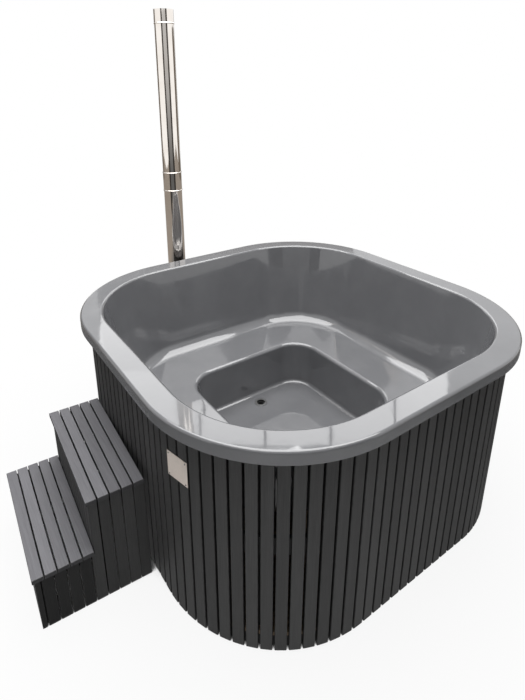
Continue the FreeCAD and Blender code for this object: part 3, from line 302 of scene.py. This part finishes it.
def shell(material):
    """Moulded shell: rolled rim, leaning walls, bench and footwell, in one wall thickness."""
    bm = bmesh.new()
    t = SHELL_WALL
    upper = profile(bm, [
        (SEAT_MEETING, SEAT - t, 0, 0),
        (WALL_BACK_FOOT, SEAT - t, WALL_FOOT_ROUND + t, 10),
        (WALL_BACK_TOP, RIM_TOP - t, 0, 0),
        (RIM_HALF - t, RIM_TOP - t, 0, 0),
        (RIM_HALF - t, SKIRT_BOTTOM, 0, 0),
        (RIM_HALF, SKIRT_BOTTOM, SKIRT_ROUND, 4),
        (RIM_HALF, RIM_TOP, RIM_ROUND, 8),
        (OPENING_HALF, RIM_TOP, OPENING_ROUND, 8),
        (WALL_FOOT_HALF, SEAT, WALL_FOOT_ROUND, 14),
        (SEAT_MEETING, SEAT, 0, 0),
    ])
    carried_round(bm, upper, CORNER)
    lower = profile(bm, [
        (FOOTWELL_MEETING, SEAT, 0, 0),
        (FOOTWELL_HALF, SEAT, FOOTWELL_LIP_ROUND, 10),
        (FOOTWELL_FOOT, FLOOR, FOOTWELL_FOOT_ROUND, 10),
        (FLOOR_MEETING, FLOOR, 0, 0),
    ])
    carried_round(bm, lower, FOOTWELL_CORNER)
    under = profile(bm, [
        (FOOTWELL_MEETING, SEAT - t, 0, 0),
        (FOOTWELL_HALF + t, SEAT - t, FOOTWELL_LIP_ROUND - t, 6),
        (FOOTWELL_FOOT + t, FLOOR - t, FOOTWELL_FOOT_ROUND + t, 6),
        (FLOOR_MEETING, FLOOR - t, 0, 0),
    ])
    carried_round(bm, under, FOOTWELL_CORNER)
    for z in (SEAT, SEAT - t):
        filled(bm, z)
    for z in (FLOOR, FLOOR - t):
        bmesh.ops.create_circle(bm, segments=ROUND_STEPS, radius=DRAIN_HOLE,
                                matrix=Matrix.Translation(DRAIN + Vector((0, 0, z))))
        filled(bm, z)
    bmesh.ops.bridge_loops(bm, edges=drain_edges(bm, FLOOR) + drain_edges(bm, FLOOR - t))
    bmesh.ops.recalc_face_normals(bm, faces=bm.faces)
    bm = carved(bm, fitting_rods(PAD_RADIUS, 0.0), "UNION")
    bm = carved(bm, fitting_rods(FITTING_HOLE, HOLE_OVERRUN), "DIFFERENCE")
    finished("shell_moulding", bm, material, "tub", ["tub_shell"], 50)


def turned(points):
    """Closed ring profile of (radius, height) points turned about the flue's axis."""
    bm = bmesh.new()
    ring = [bm.verts.new(FLUE + Vector((radius, 0, z))) for radius, z in points]
    edges = [bm.edges.new(pair) for pair in zip(ring, ring[1:] + ring[:1])]
    bmesh.ops.spin(bm, geom=ring + edges, cent=FLUE, axis=(0, 0, 1), angle=2 * math.pi,
                   steps=FLUE_STEPS, use_merge=True)
    bmesh.ops.remove_doubles(bm, verts=bm.verts, dist=SAME_POINT)
    bmesh.ops.recalc_face_normals(bm, faces=bm.faces)
    return bm


def bead(radius, z):
    """Rolled bead standing out from a pipe, from below to above."""
    angles = [math.pi * (i / 6 - 0.5) for i in range(7)]
    return [(radius + BEAD * math.cos(a), z + BEAD_HALF * math.sin(a)) for a in angles]


def flue(material):
    """Two lengths of pipe that meet inside a beaded sleeve; the upper one ends in a socket."""
    inner = FLUE_RADIUS - FLUE_WALL
    lower = [(inner, CASING_TOP), (FLUE_RADIUS, CASING_TOP)]
    lower += [(FLUE_RADIUS, FLUE_MEETING), (inner, FLUE_MEETING)]
    finished("flue_pipe_lower", turned(lower), material, "tub", ["flue_lower"])
    bore = FLUE_RADIUS + SOCKET_GAP
    skin = bore + FLUE_WALL
    socket = END_BEAD - BEAD_HALF
    shoulder = socket - FLUE_WALL
    upper = [(inner, FLUE_MEETING), (FLUE_RADIUS, FLUE_MEETING), (FLUE_RADIUS, shoulder), (skin, shoulder)]
    upper += bead(skin, END_BEAD) + [(skin, FLUE_TOP), (bore, FLUE_TOP), (bore, socket), (inner, socket)]
    finished("flue_pipe_upper", turned(upper), material, "tub", ["flue_upper"])
    sleeve = [(bore, COUPLING[0])] + bead(skin, COUPLING[0] + BEAD_HALF)
    sleeve += bead(skin, COUPLING[1] - BEAD_HALF) + [(bore, COUPLING[1])]
    finished("flue_sleeve", turned(sleeve), material, "tub", ["flue_coupling"])


def add(tree, kind, inputs=None, **settings):
    """One shader node; an input that is a socket is linked, anything else is set."""
    made = tree.nodes.new("ShaderNode" + kind)
    for key, value in settings.items():
        setattr(made, key, value)
    for key, value in (inputs or {}).items():
        put(tree, made.inputs[key], value)
    return made


def put(tree, socket, value):
    if isinstance(value, bpy.types.NodeSocket):
        tree.links.new(value, socket)
    else:
        socket.default_value = value


def group(name, inputs, outputs):
    """Empty shader group with named sockets."""
    tree = bpy.data.node_groups.new(name, "ShaderNodeTree")
    for side, sockets in (("INPUT", inputs), ("OUTPUT", outputs)):
        for label, kind in sockets.items():
            tree.interface.new_socket(name=label, in_out=side, socket_type="NodeSocket" + kind)
    return tree, tree.nodes.new("NodeGroupInput").outputs, tree.nodes.new("NodeGroupOutput").inputs


def use(tree, made, **inputs):
    """Place a group in a material."""
    place = tree.nodes.new("ShaderNodeGroup")
    place.node_tree = made
    for key, value in inputs.items():
        put(tree, place.inputs[key], value)
    return place.outputs


def noise(tree, vector, scale, detail=3.0, rough=0.5):
    made = add(tree, "TexNoise", {"Vector": vector, "Scale": scale, "Detail": detail, "Roughness": rough})
    return made.outputs["Fac"]


def ranged(tree, value, low, high, to_low, to_high):
    return add(tree, "MapRange", {"Value": value, "From Min": low, "From Max": high, "To Min": to_low,
                                  "To Max": to_high}).outputs["Result"]


def maths(tree, operation, a, b):
    return add(tree, "Math", {0: a, 1: b}, operation=operation).outputs[0]


def mixed(tree, factor, a, b):
    made = add(tree, "Mix", data_type="RGBA")
    put(tree, made.inputs["Factor"], factor)
    put(tree, made.inputs[6], a)
    put(tree, made.inputs[7], b)
    return made.outputs[2]


def grey(value, warm=0.0):
    return (value * (1 + warm), value, value * (1 - warm), 1.0)


def cast(value, red, blue):
    """Grey with a slight colour cast."""
    return (value * (1 + red), value, value * (1 + blue), 1.0)


def vector_maths(tree, operation, a, b):
    return add(tree, "VectorMath", {0: a, 1: b}, operation=operation).outputs[0]


def stretched(along, fine, long):
    """Scale of a grain on each axis: fine across it, long along one axis."""
    scale = [fine, fine, fine]
    scale[along] = long
    return scale


def grain_group():
    """Long grain: streaks along one direction, different on each board."""
    tree, given, out = group("long_grain", {"Vector": "Vector", "Stretch": "Vector", "Board": "Float"},
                             {"Streak": "Float", "Broad": "Float"})
    shift = vector_maths(tree, "MULTIPLY", given["Board"], (17.0, 31.0, 23.0))
    moved = vector_maths(tree, "ADD", given["Vector"], shift)
    fine = vector_maths(tree, "MULTIPLY", moved, given["Stretch"])
    put(tree, out["Streak"], noise(tree, fine, 1.0, 5.0, 0.62))
    put(tree, out["Broad"], noise(tree, fine, 0.17, 3.0, 0.5))
    return tree


def dust_group():
    """Thin uneven film of dust and dried drops."""
    tree, given, out = group("dust_film", {"Vector": "Vector", "Scale": "Float", "Cover": "Float"},
                             {"Film": "Float"})
    broad = noise(tree, given["Vector"], given["Scale"], 4.0, 0.6)
    patches = ranged(tree, broad, 0.42, 0.72, 0.0, 1.0)
    put(tree, out["Film"], maths(tree, "MULTIPLY", patches, given["Cover"]))
    return tree


def rub_group():
    """Edges rubbed lighter in places."""
    tree, given, out = group("rubbed_edge", {"Vector": "Vector", "Edge": "Float", "Amount": "Float"},
                             {"Mask": "Float"})
    broken = ranged(tree, noise(tree, given["Vector"], 38.0, 4.0), 0.38, 0.66, 0.15, 1.0)
    on_edge = maths(tree, "MULTIPLY", broken, given["Edge"])
    put(tree, out["Mask"], maths(tree, "MULTIPLY", on_edge, given["Amount"]))
    return tree


GRAIN = grain_group()
DUST = dust_group()
RUB = rub_group()


def blank(name, **values):
    """Material with its node tree, its shader's inputs and the piece's own coordinates."""
    made = bpy.data.materials.new(name)
    made.use_nodes = True
    tree = made.node_tree
    shader = tree.nodes["Principled BSDF"]
    for key, value in values.items():
        shader.inputs[key.replace("_", " ").title().replace("Ior", "IOR")].default_value = value
    place = add(tree, "TexCoord").outputs["Object"]
    return made, tree, shader.inputs, place


def attribute(tree, name):
    return add(tree, "Attribute", attribute_name=name).outputs["Fac"]


def bumped(tree, height, distance, normal=None):
    made = add(tree, "Bump", {"Height": height, "Distance": distance, "Strength": 1.0})
    if normal is not None:
        tree.links.new(normal, made.inputs["Normal"])
    return made.outputs["Normal"]


def gel_coat():
    """Glossy grey gel-coat: slightly cloudy colour, a soft ripple left by the mould, a film of dust."""
    made, tree, shader, place = blank("grey_gel_coat", coat_weight=0.7, coat_roughness=0.02)
    cloud = noise(tree, place, 2.2, 4.0, 0.55)
    film = use(tree, DUST, Vector=place, Scale=5.0, Cover=0.35)["Film"]
    colour = mixed(tree, cloud, cast(0.118, -0.01, 0.05), cast(0.144, -0.01, 0.05))
    put(tree, shader["Base Color"], mixed(tree, film, colour, cast(0.170, -0.01, 0.04)))
    put(tree, shader["Roughness"], ranged(tree, film, 0.0, 0.35, 0.05, 0.13))
    ripple = bumped(tree, noise(tree, place, 16.0, 2.0, 0.4), 0.0004)
    put(tree, shader["Normal"], bumped(tree, noise(tree, place, 260.0, 2.0), 0.000012, ripple))
    return made


def board(name, along, dark, light, rubbed, sides, tint=(0.0, 0.0)):
    """Charcoal composite board with a brushed grain along one axis; its narrow side faces are painted
    darker as painted shade.
    """
    made, tree, shader, place = blank(name, specular_ior_level=0.20)
    own = attribute(tree, "tone")
    grain = use(tree, GRAIN, Vector=place, Stretch=stretched(along, 420.0, 7.0), Board=own)
    streak = ranged(tree, grain["Streak"], 0.28, 0.72, 0.0, 1.0)
    colour = mixed(tree, streak, cast(dark, *tint), cast(light, *tint))
    broad = ranged(tree, maths(tree, "ADD", grain["Broad"], own), 0.4, 1.7, 0.80, 1.16)
    # Painted shade: faces flagged by the side attribute are darkened by this factor, so the sides in the
    # gaps read dark.
    narrow = ranged(tree, attribute(tree, "side"), 0.0, 1.0, 1.0, sides)
    shade = maths(tree, "MULTIPLY", broad, narrow)
    colour = vector_maths(tree, "MULTIPLY", colour, shade)
    worn = use(tree, RUB, Vector=place, Edge=attribute(tree, "rub"), Amount=rubbed)["Mask"]
    put(tree, shader["Base Color"], mixed(tree, worn, colour, grey(light * 2.2)))
    put(tree, shader["Roughness"], ranged(tree, streak, 0.0, 1.0, 0.42, 0.60))
    put(tree, shader["Normal"], bumped(tree, streak, 0.00022))
    return made


def timber(name, along, dark, light, rough):
    """Planed wood with growth rings drawn out along one axis."""
    made, tree, shader, place = blank(name)
    own = attribute(tree, "tone")
    grain = use(tree, GRAIN, Vector=place, Stretch=stretched(along, 95.0, 2.4), Board=own)
    rings = add(tree, "TexWave", {"Vector": place, "Scale": 14.0, "Distortion": 7.0, "Detail": 2.0},
                bands_direction="XYZ"[(along + 1) % 3]).outputs["Fac"]
    figure = maths(tree, "MULTIPLY", rings, grain["Broad"])
    figure = maths(tree, "ADD", figure, maths(tree, "MULTIPLY", grain["Streak"], 0.6))
    put(tree, shader["Base Color"], mixed(tree, ranged(tree, figure, 0.25, 1.0, 0.0, 1.0), dark, light))
    put(tree, shader["Roughness"], ranged(tree, grain["Streak"], 0.3, 0.7, rough - 0.1, rough + 0.1))
    put(tree, shader["Normal"], bumped(tree, grain["Streak"], 0.0003))
    return made


def polished_steel():
    """Mirror-polished flue pipe, rolled lengthwise, with faint dents and a little heat tint."""
    made, tree, shader, place = blank("polished_flue_steel", metallic=1.0)
    film = use(tree, DUST, Vector=place, Scale=9.0, Cover=0.5)["Film"]
    lines = use(tree, GRAIN, Vector=place, Stretch=stretched(Z, 300.0, 3.0), Board=0.3)["Streak"]
    colour = mixed(tree, film, (0.94, 0.89, 0.84, 1.0), (0.80, 0.73, 0.66, 1.0))
    put(tree, shader["Base Color"], colour)
    dull = maths(tree, "MULTIPLY", film, 0.07)
    put(tree, shader["Roughness"], maths(tree, "ADD", ranged(tree, lines, 0.3, 0.7, 0.03, 0.07), dull))
    dents = vector_maths(tree, "MULTIPLY", place, stretched(Z, 9.0, 2.2))
    put(tree, shader["Normal"], bumped(tree, noise(tree, dents, 1.0, 2.0), 0.0012))
    return made


def brushed(name, along, colour, rough, metal=1.0, hot_top=None):
    """Brushed metal with lines along one axis and a little grime; a given top face is painted darker, as
    painted shade, and made duller.
    """
    made, tree, shader, place = blank(name, metallic=metal)
    own = attribute(tree, "tone")
    lines = use(tree, GRAIN, Vector=place, Stretch=stretched(along, 900.0, 12.0), Board=own)["Streak"]
    film = use(tree, DUST, Vector=place, Scale=7.0, Cover=0.45)["Film"]
    dark = tuple(c * 0.72 for c in colour) + (1.0,)
    shade = mixed(tree, ranged(tree, lines, 0.3, 0.7, 0.0, 1.0), dark, tuple(colour) + (1.0,))
    shade = mixed(tree, film, shade, tuple(c * 0.6 for c in colour) + (1.0,))
    dull = maths(tree, "MULTIPLY", film, 0.2)
    if hot_top is not None:
        # Painted shade: the top face is darkened so the overhead lamp's reflection there does not burn out
        # to white.
        height = add(tree, "SeparateXYZ", {0: place}).outputs["Z"]
        heat = ranged(tree, height, hot_top - HEAT_DEPTH, hot_top - HEAT_DEPTH / 4, 0.0, 1.0)
        shade = vector_maths(tree, "MULTIPLY", shade, ranged(tree, heat, 0.0, 1.0, 1.0, 0.32))
        dull = maths(tree, "ADD", dull, maths(tree, "MULTIPLY", heat, 0.30))
    put(tree, shader["Base Color"], shade)
    in_lines = ranged(tree, lines, 0.3, 0.7, rough - 0.08, rough + 0.1)
    put(tree, shader["Roughness"], maths(tree, "ADD", in_lines, dull))
    put(tree, shader["Normal"], bumped(tree, lines, 0.00005))
    return made


def drain_lining(name, bore, colour, metal, rough):
    """Skin of a drain fitting; its bore is painted near-black and dull, as painted shade of the deep hole.
    """
    made, tree, shader, place = blank(name)
    outward = vector_maths(tree, "MULTIPLY", place, (1.0, 1.0, 0.0))
    outward = add(tree, "VectorMath", {0: outward, 1: DRAIN}, operation="DISTANCE").outputs["Value"]
    # Painted shade: inside the bore the colour goes to near-black and the surface to rough.
    clean = ranged(tree, outward, bore + 0.0004, bore + 0.0012, 0.0, 1.0)
    film = use(tree, DUST, Vector=place, Scale=40.0, Cover=0.6)["Film"]
    skin = mixed(tree, film, grey(colour), grey(colour * 0.7))
    put(tree, shader["Base Color"], mixed(tree, clean, grey(0.004), skin))
    if metal:
        put(tree, shader["Metallic"], maths(tree, "MULTIPLY", clean, metal))
    put(tree, shader["Roughness"], ranged(tree, clean, 0.0, 1.0, 0.95, rough))
    put(tree, shader["Normal"], bumped(tree, noise(tree, place, 420.0, 3.0), 0.00003))
    return made


def coated(name, colour, rough, pits, metal=0.0, rubbed=0.5, bare=0.22):
    """Painted, cast or moulded skin: fine pits, a film of dust and rubbed edges."""
    made, tree, shader, place = blank(name, metallic=metal)
    film = use(tree, DUST, Vector=place, Scale=11.0, Cover=0.5)["Film"]
    worn = use(tree, RUB, Vector=place, Edge=attribute(tree, "rub"), Amount=rubbed)["Mask"]
    pale = tuple(c * 1.6 + 0.012 for c in colour) + (1.0,)
    shade = mixed(tree, film, tuple(colour) + (1.0,), pale)
    put(tree, shader["Base Color"], mixed(tree, worn, shade, grey(bare)))
    put(tree, shader["Roughness"], ranged(tree, film, 0.0, 0.5, rough - 0.06, rough + 0.12))
    put(tree, shader["Normal"], bumped(tree, noise(tree, place, 520.0, 3.0, 0.6), pits))
    return made


def rope():
    """Braided glass-fibre door rope."""
    made, tree, shader, place = blank("door_rope")
    braid = add(tree, "TexWave", {"Vector": place, "Scale": 190.0, "Distortion": 1.2, "Detail": 2.0},
                bands_direction="DIAGONAL").outputs["Fac"]
    put(tree, shader["Base Color"], mixed(tree, braid, (0.34, 0.33, 0.31, 1.0), (0.62, 0.60, 0.56, 1.0)))
    put(tree, shader["Roughness"], ranged(tree, braid, 0.0, 1.0, 0.95, 0.8))
    put(tree, shader["Normal"], bumped(tree, braid, 0.0006))
    return made


def dressed(names, material, edge, segments=2):
    """One finish for several CAD nodes, with their edges eased by the same radius."""
    for name in names:
        softened(name, material, edge, segments)


def board_pieces():
    """Slats of the cladding and boards of the steps."""
    slats = board("charcoal_slats", Z, dark=0.041, light=0.068, rubbed=0.25, sides=0.35)
    cladding = [name for name in frame["nodes"] if name.startswith("cladding_")]
    cladding.remove("cladding_hoops")
    dressed(cladding, slats, 0.0009)
    # Same charcoal board as the step sides, but painted about three times lighter: painted light from above
    # on the tread tops.
    treads = board("charcoal_treads_painted_lit", Y, dark=0.134, light=0.194, rubbed=0.15, sides=0.28,
                   tint=(0.012, 0.07))
    upright = board("charcoal_step_sides", Z, dark=0.036, light=0.061, rubbed=0.25, sides=0.35)
    dressed(["step_upper_tread", "step_lower_tread"], treads, 0.0024, 3)
    dressed(["step_near_side", "step_far_side", "step_upper_riser", "step_lower_riser"], upright, 0.0010)


def timber_pieces():
    """Hidden timber of the tub and the steps, coloured dark partly as painted shade for where it shows
    through gaps.
    """
    # Near-black stain on hoops, posts and step frame; it also serves as painted shade, so the gaps read
    # black.
    black = timber("black_timber_as_painted_shade", Z, grey(0.012), grey(0.022), rough=0.75)
    dressed(["cladding_hoops", "rim_posts", "step_frame"], black, 0.0015)
    # About half as light as bare softwood: painted shade for the edges seen through the slat gaps.
    softwood = timber("planed_softwood", Y, (0.13, 0.085, 0.05, 1), (0.25, 0.175, 0.11, 1), rough=0.70)
    dressed(["base_bearers", "footwell_blocks"], softwood, 0.0020)
    # About half as light as bare plywood: painted shade for the edges seen through the slat gaps.
    plywood = timber("sealed_plywood", X, (0.12, 0.085, 0.055, 1), (0.22, 0.16, 0.105, 1), rough=0.65)
    dressed(["base_board", "bench_panels"], plywood, 0.0010)


def metal_pieces():
    """Name plate, stove casing, water pipes and bright fixings."""
    plate = brushed("brushed_plate", X, (0.96, 0.86, 0.78), rough=0.60, metal=0.2)
    dressed(["name_plate"], plate, 0.0004, 3)
    casing = brushed("brushed_casing", X, (0.64, 0.64, 0.64), rough=0.38, metal=0.85, hot_top=CASING_TOP)
    dressed(["stove_casing", "flue_collar"], casing, 0.0006)
    pipes = brushed("pickled_pipe", Y, (0.50, 0.50, 0.50), rough=0.30)
    dressed(["stove_water_stubs", "heater_pipe_lower", "heater_pipe_upper", "heater_bend_lower",
             "heater_bend_upper"], pipes, 0.0004)
    bright = brushed("bright_fixings", X, (0.62, 0.62, 0.62), rough=0.24)
    dressed(["door_hinge_pins", "latch_spindle", "sleeve_clips", "name_plate_screws", "drain_valve_ball",
             "drain_valve_stem", "drain_lever_nut"], bright, 0.0003)


def drain_pieces():
    """Flange in the footwell floor and the pipe below it."""
    steel = drain_lining("drain_steel", DRAIN_BORE, colour=0.26, metal=1.0, rough=0.38)
    dressed(["drain_flange"], steel, 0.0006)
    plastic = drain_lining("drain_plastic", DRAIN_PIPE_BORE, colour=0.25, metal=0.0, rough=0.42)
    dressed(["drain_pipe"], plastic, 0.0008)


def stove_pieces():
    """Painted plates, cast iron, grips and the door's rope seal."""
    paint = coated("heat_proof_black", (0.022, 0.022, 0.023), rough=0.52, pits=0.00006, bare=0.10)
    dressed(["stove_front_plate", "stove_feet", "stove_firebox", "ash_drawer"], paint, 0.0010)
    iron = coated("blacked_iron", (0.028, 0.028, 0.029), rough=0.60, pits=0.00030, metal=0.3, rubbed=0.6,
                  bare=0.12)
    dressed(["stove_door", "stove_grate"], iron, 0.0015)
    grip = coated("handle_black", (0.016, 0.016, 0.016), rough=0.42, pits=0.00004, rubbed=0.2, bare=0.06)
    dressed(["door_handle", "drawer_knob"], grip, 0.0018, 3)
    dressed(["door_gasket"], rope(), 0.0005)


def water_fittings():
    """Drain valve, rubber sleeves and plastic fittings."""
    lever = coated("red_lever_coat", (0.46, 0.02, 0.015), rough=0.35, pits=0.00003, rubbed=0.3)
    dressed(["drain_valve_lever"], lever, 0.0008)
    brass = brushed("valve_brass", X, (0.66, 0.47, 0.20), rough=0.30)
    dressed(["drain_valve_body", "drain_valve_tail"], brass, 0.0008)
    rubber = coated("sleeve_rubber", (0.017, 0.017, 0.018), rough=0.66, pits=0.00005, rubbed=0.1, bare=0.05)
    dressed(["heater_sleeves"], rubber, 0.0008)
    plastic = coated("grey_plastic", (0.24, 0.25, 0.26), rough=0.40, pits=0.00002, rubbed=0.15, bare=0.4)
    dressed(["drain_nut", "heater_fittings", "heater_nuts"], plastic, 0.0008)


def pieces():
    """Everything that is part of the object."""
    shell(gel_coat())
    flue(polished_steel())
    board_pieces()
    timber_pieces()
    metal_pieces()
    drain_pieces()
    stove_pieces()
    water_fittings()


def seen_white(tree):
    """One for the rays that show the white background: to the camera, in gloss and through glass."""
    ray = add(tree, "LightPath").outputs
    seen = maths(tree, "MAXIMUM", ray["Is Camera Ray"], ray["Is Glossy Ray"])
    return maths(tree, "MAXIMUM", seen, ray["Is Transmission Ray"])


def staged(name, bm, material):
    """Something of the studio, not of the object."""
    mesh = bpy.data.meshes.new(name)
    bm.to_mesh(mesh)
    bm.free()
    mesh.materials.append(material)
    made = bpy.data.objects.new(name, mesh)
    bpy.context.collection.objects.link(made)
    return made


def stage_floor():
    """Pale floor that goes to white in the open and keeps the object's soft shadow."""
    bm = bmesh.new()
    bmesh.ops.create_grid(bm, x_segments=2, y_segments=2, size=FLOOR_REACH)
    made = bpy.data.materials.new("studio_floor")
    made.use_nodes = True
    tree = made.node_tree
    tree.nodes.remove(tree.nodes["Principled BSDF"])
    matt = add(tree, "BsdfDiffuse", {"Color": grey(0.55)})
    white = add(tree, "Emission", {"Color": grey(1.0), "Strength": 1.0})
    place = add(tree, "TexCoord").outputs["Object"]
    away = add(tree, "VectorMath", {0: place}, operation="LENGTH").outputs["Value"]
    open_floor = ranged(tree, away, 1.0, 2.2, 0.90, 1.0)
    sky = add(tree, "AmbientOcclusion", {"Distance": COVER_HEIGHT}, samples=16).outputs["AO"]
    uncovered = ranged(tree, sky, 0.14, 0.24, 0.0, 1.0)
    clear = maths(tree, "MULTIPLY", uncovered, open_floor)
    share = maths(tree, "MULTIPLY", clear, seen_white(tree))
    out = add(tree, "MixShader", {0: share, 1: matt.outputs[0], 2: white.outputs[0]})
    tree.links.new(out.outputs[0], tree.nodes["Material Output"].inputs["Surface"])
    staged("studio_floor", bm, made)


def stage_world():
    """White to the camera, in gloss and through glass; a soft grey fill for everything else."""
    world = bpy.data.worlds.new("studio")
    world.use_nodes = True
    tree = world.node_tree
    fill = tree.nodes["Background"]
    fill.inputs["Color"].default_value = grey(1.0)
    fill.inputs["Strength"].default_value = 0.12
    white = add(tree, "Background", {"Color": grey(1.0), "Strength": 1.0})
    out = add(tree, "MixShader", {0: seen_white(tree), 1: fill.outputs[0], 2: white.outputs[0]})
    tree.links.new(out.outputs[0], tree.nodes["World Output"].inputs["Surface"])
    bpy.context.scene.world = world


def soft_light(name, place, target, size, power):
    """Rectangular lamp that faces a point; its size is in metres and its power in watts."""
    data = bpy.data.lights.new(name, "AREA")
    data.shape = "RECTANGLE"
    data.size, data.size_y = size
    data.energy = power
    lamp = bpy.data.objects.new(name, data)
    lamp.location = place
    lamp.rotation_euler = (Vector(target) - Vector(place)).to_track_quat("-Z", "Y").to_euler()
    bpy.context.collection.objects.link(lamp)
    return lamp


def screen_paint(name, low, high, foot=0.8, head=2.2):
    """Evenly lit paint of a screen, from one tone at its foot to another at its head."""
    made = bpy.data.materials.new(name)
    made.use_nodes = True
    tree = made.node_tree
    tree.nodes.remove(tree.nodes["Principled BSDF"])
    height = add(tree, "SeparateXYZ", {0: add(tree, "TexCoord").outputs["Object"]}).outputs["Z"]
    tone = mixed(tree, ranged(tree, height, foot, head, 0.0, 1.0), low, high)
    lit = add(tree, "Emission", {"Color": tone, "Strength": 1.0})
    tree.links.new(lit.outputs[0], tree.nodes["Material Output"].inputs["Surface"])
    return made


def ground_paint():
    """Glowing grey ground near the tub that turns brown further off, seen in gloss alone; its light patch
    before the front-left is a painted pool of light.
    """
    made = bpy.data.materials.new("ground_paint")
    made.use_nodes = True
    tree = made.node_tree
    tree.nodes.remove(tree.nodes["Principled BSDF"])
    place = add(tree, "TexCoord").outputs["Object"]
    away = add(tree, "VectorMath", {0: place}, operation="LENGTH").outputs["Value"]
    # Painted pool of light: lighter grey round a point before the tub's front-left corner.
    spot = add(tree, "VectorMath", {0: place, 1: (-1.0, -1.7, 0.0)}, operation="DISTANCE").outputs["Value"]
    near = mixed(tree, ranged(tree, spot, 0.7, 2.4, 0.0, 1.0), grey(0.55), grey(0.15))
    tone = mixed(tree, ranged(tree, away, 2.6, 3.6, 0.0, 1.0), near, grey(0.27, 0.12))
    lit = add(tree, "Emission", {"Color": tone, "Strength": 1.0})
    tree.links.new(lit.outputs[0], tree.nodes["Material Output"].inputs["Surface"])
    return made


def round_flue(degrees, distance):
    """Place at a distance from the flue; the angle is counted from the camera to the right."""
    to_camera = math.atan2(CAMERA.y - FLUE.y, CAMERA.x - FLUE.x)
    angle = to_camera + math.radians(degrees)
    return FLUE + distance * Vector((math.cos(angle), math.sin(angle), 0.0))


def screens():
    """Screens and bars that only a gloss shows, as are set round polished metal for a photograph."""
    dark = screen_paint("dark_screen", grey(0.03, 0.1), grey(0.06, 0.1))
    shade = screen_paint("grey_screen", grey(0.12), grey(0.52), 0.6, 2.4)
    brown = screen_paint("brown_backdrop", grey(0.13, 0.17), grey(0.45), 2.9, 4.4)
    standing = [
        ("screen_left_of_camera", -27, 5.0, (0.72, 1.65), 1.60, dark),
        ("screen_right_of_camera", 29, 5.0, (0.80, 1.65), 1.60, dark),
        ("screen_behind_camera", 6, 5.6, (3.60, 1.65), 1.60, shade),
        ("backdrop_right", 119, 8.0, (3.1, 1.6), 1.60, brown),
        ("backdrop_middle", 172, 8.0, (3.1, 3.5), 3.50, brown),
        ("backdrop_left", 225, 8.0, (3.1, 3.5), 3.50, brown),
    ]
    for name, degrees, distance, half, middle, paint in standing:
        place = round_flue(degrees, distance)
        turn = (FLUE - place).to_track_quat("-Z", "Y").to_matrix()
        card(name, Vector((place.x, place.y, middle)), turn, half, paint)
    sheet_place = Vector((0.0, 0.0, SHEET_HEIGHT))
    card("ground_sheet", sheet_place, Matrix.Identity(3), (SHEET_REACH, SHEET_REACH), ground_paint())
    for number in range(BAR_COUNT):
        across = KEY_TURN @ Vector((BAR_START + BAR_SPACING * number, 0, -BAR_BEFORE_LAMP))
        card("window_bar_%d" % (number + 1), KEY_PLACE + across, KEY_TURN, BAR_HALF, dark)


def card(name, place, turn, half, paint):
    """Flat screen of a half width and half height that shows in gloss alone."""
    bm = bmesh.new()
    bmesh.ops.create_grid(bm, x_segments=1, y_segments=1, size=1.0)
    bmesh.ops.scale(bm, vec=(half[0], half[1], 1.0), verts=bm.verts)
    bmesh.ops.transform(bm, matrix=Matrix.Translation(place) @ turn.to_4x4(), verts=bm.verts)
    made = staged(name, bm, paint)
    made.visible_camera = False
    made.visible_diffuse = False
    made.visible_shadow = False
    made.visible_transmission = False


def studio():
    """Floor, light and surroundings."""
    stage_floor()
    stage_world()
    soft_light("key_behind", KEY_PLACE, KEY_TARGET, size=(6.4, 2.4), power=112)
    soft_light("overhead", (-0.05, 0.3, 5.3), (-0.05, 0.3, 0.0), size=(5.4, 5.4), power=500)
    low = soft_light("low_front", (-2.6, -3.5, 0.65), (-0.6, -0.8, 0.45), size=(2.4, 1.1), power=26)
    low.visible_glossy = False
    screens()
    bpy.context.scene.view_settings.view_transform = "Standard"


def photograph_camera():
    """Camera at the photograph's viewpoint, shifted to the photograph's framing."""
    data = bpy.data.cameras.new("photograph")
    data.sensor_width = 36.0
    data.lens = FOCAL_LENGTH / PICTURE_HEIGHT * data.sensor_width
    data.shift_x = (PICTURE_WIDTH / 2 - PICTURE_CENTRE.x) / PICTURE_HEIGHT
    data.shift_y = (PICTURE_CENTRE.y - PICTURE_HEIGHT / 2) / PICTURE_HEIGHT
    data.clip_end = 200.0
    camera = bpy.data.objects.new("photograph", data)
    camera.location = CAMERA
    camera.rotation_euler = (CAMERA_TILT, 0.0, CAMERA_HEADING)
    bpy.context.collection.objects.link(camera)
    bpy.context.scene.camera = camera


pieces()
studio()
photograph_camera()
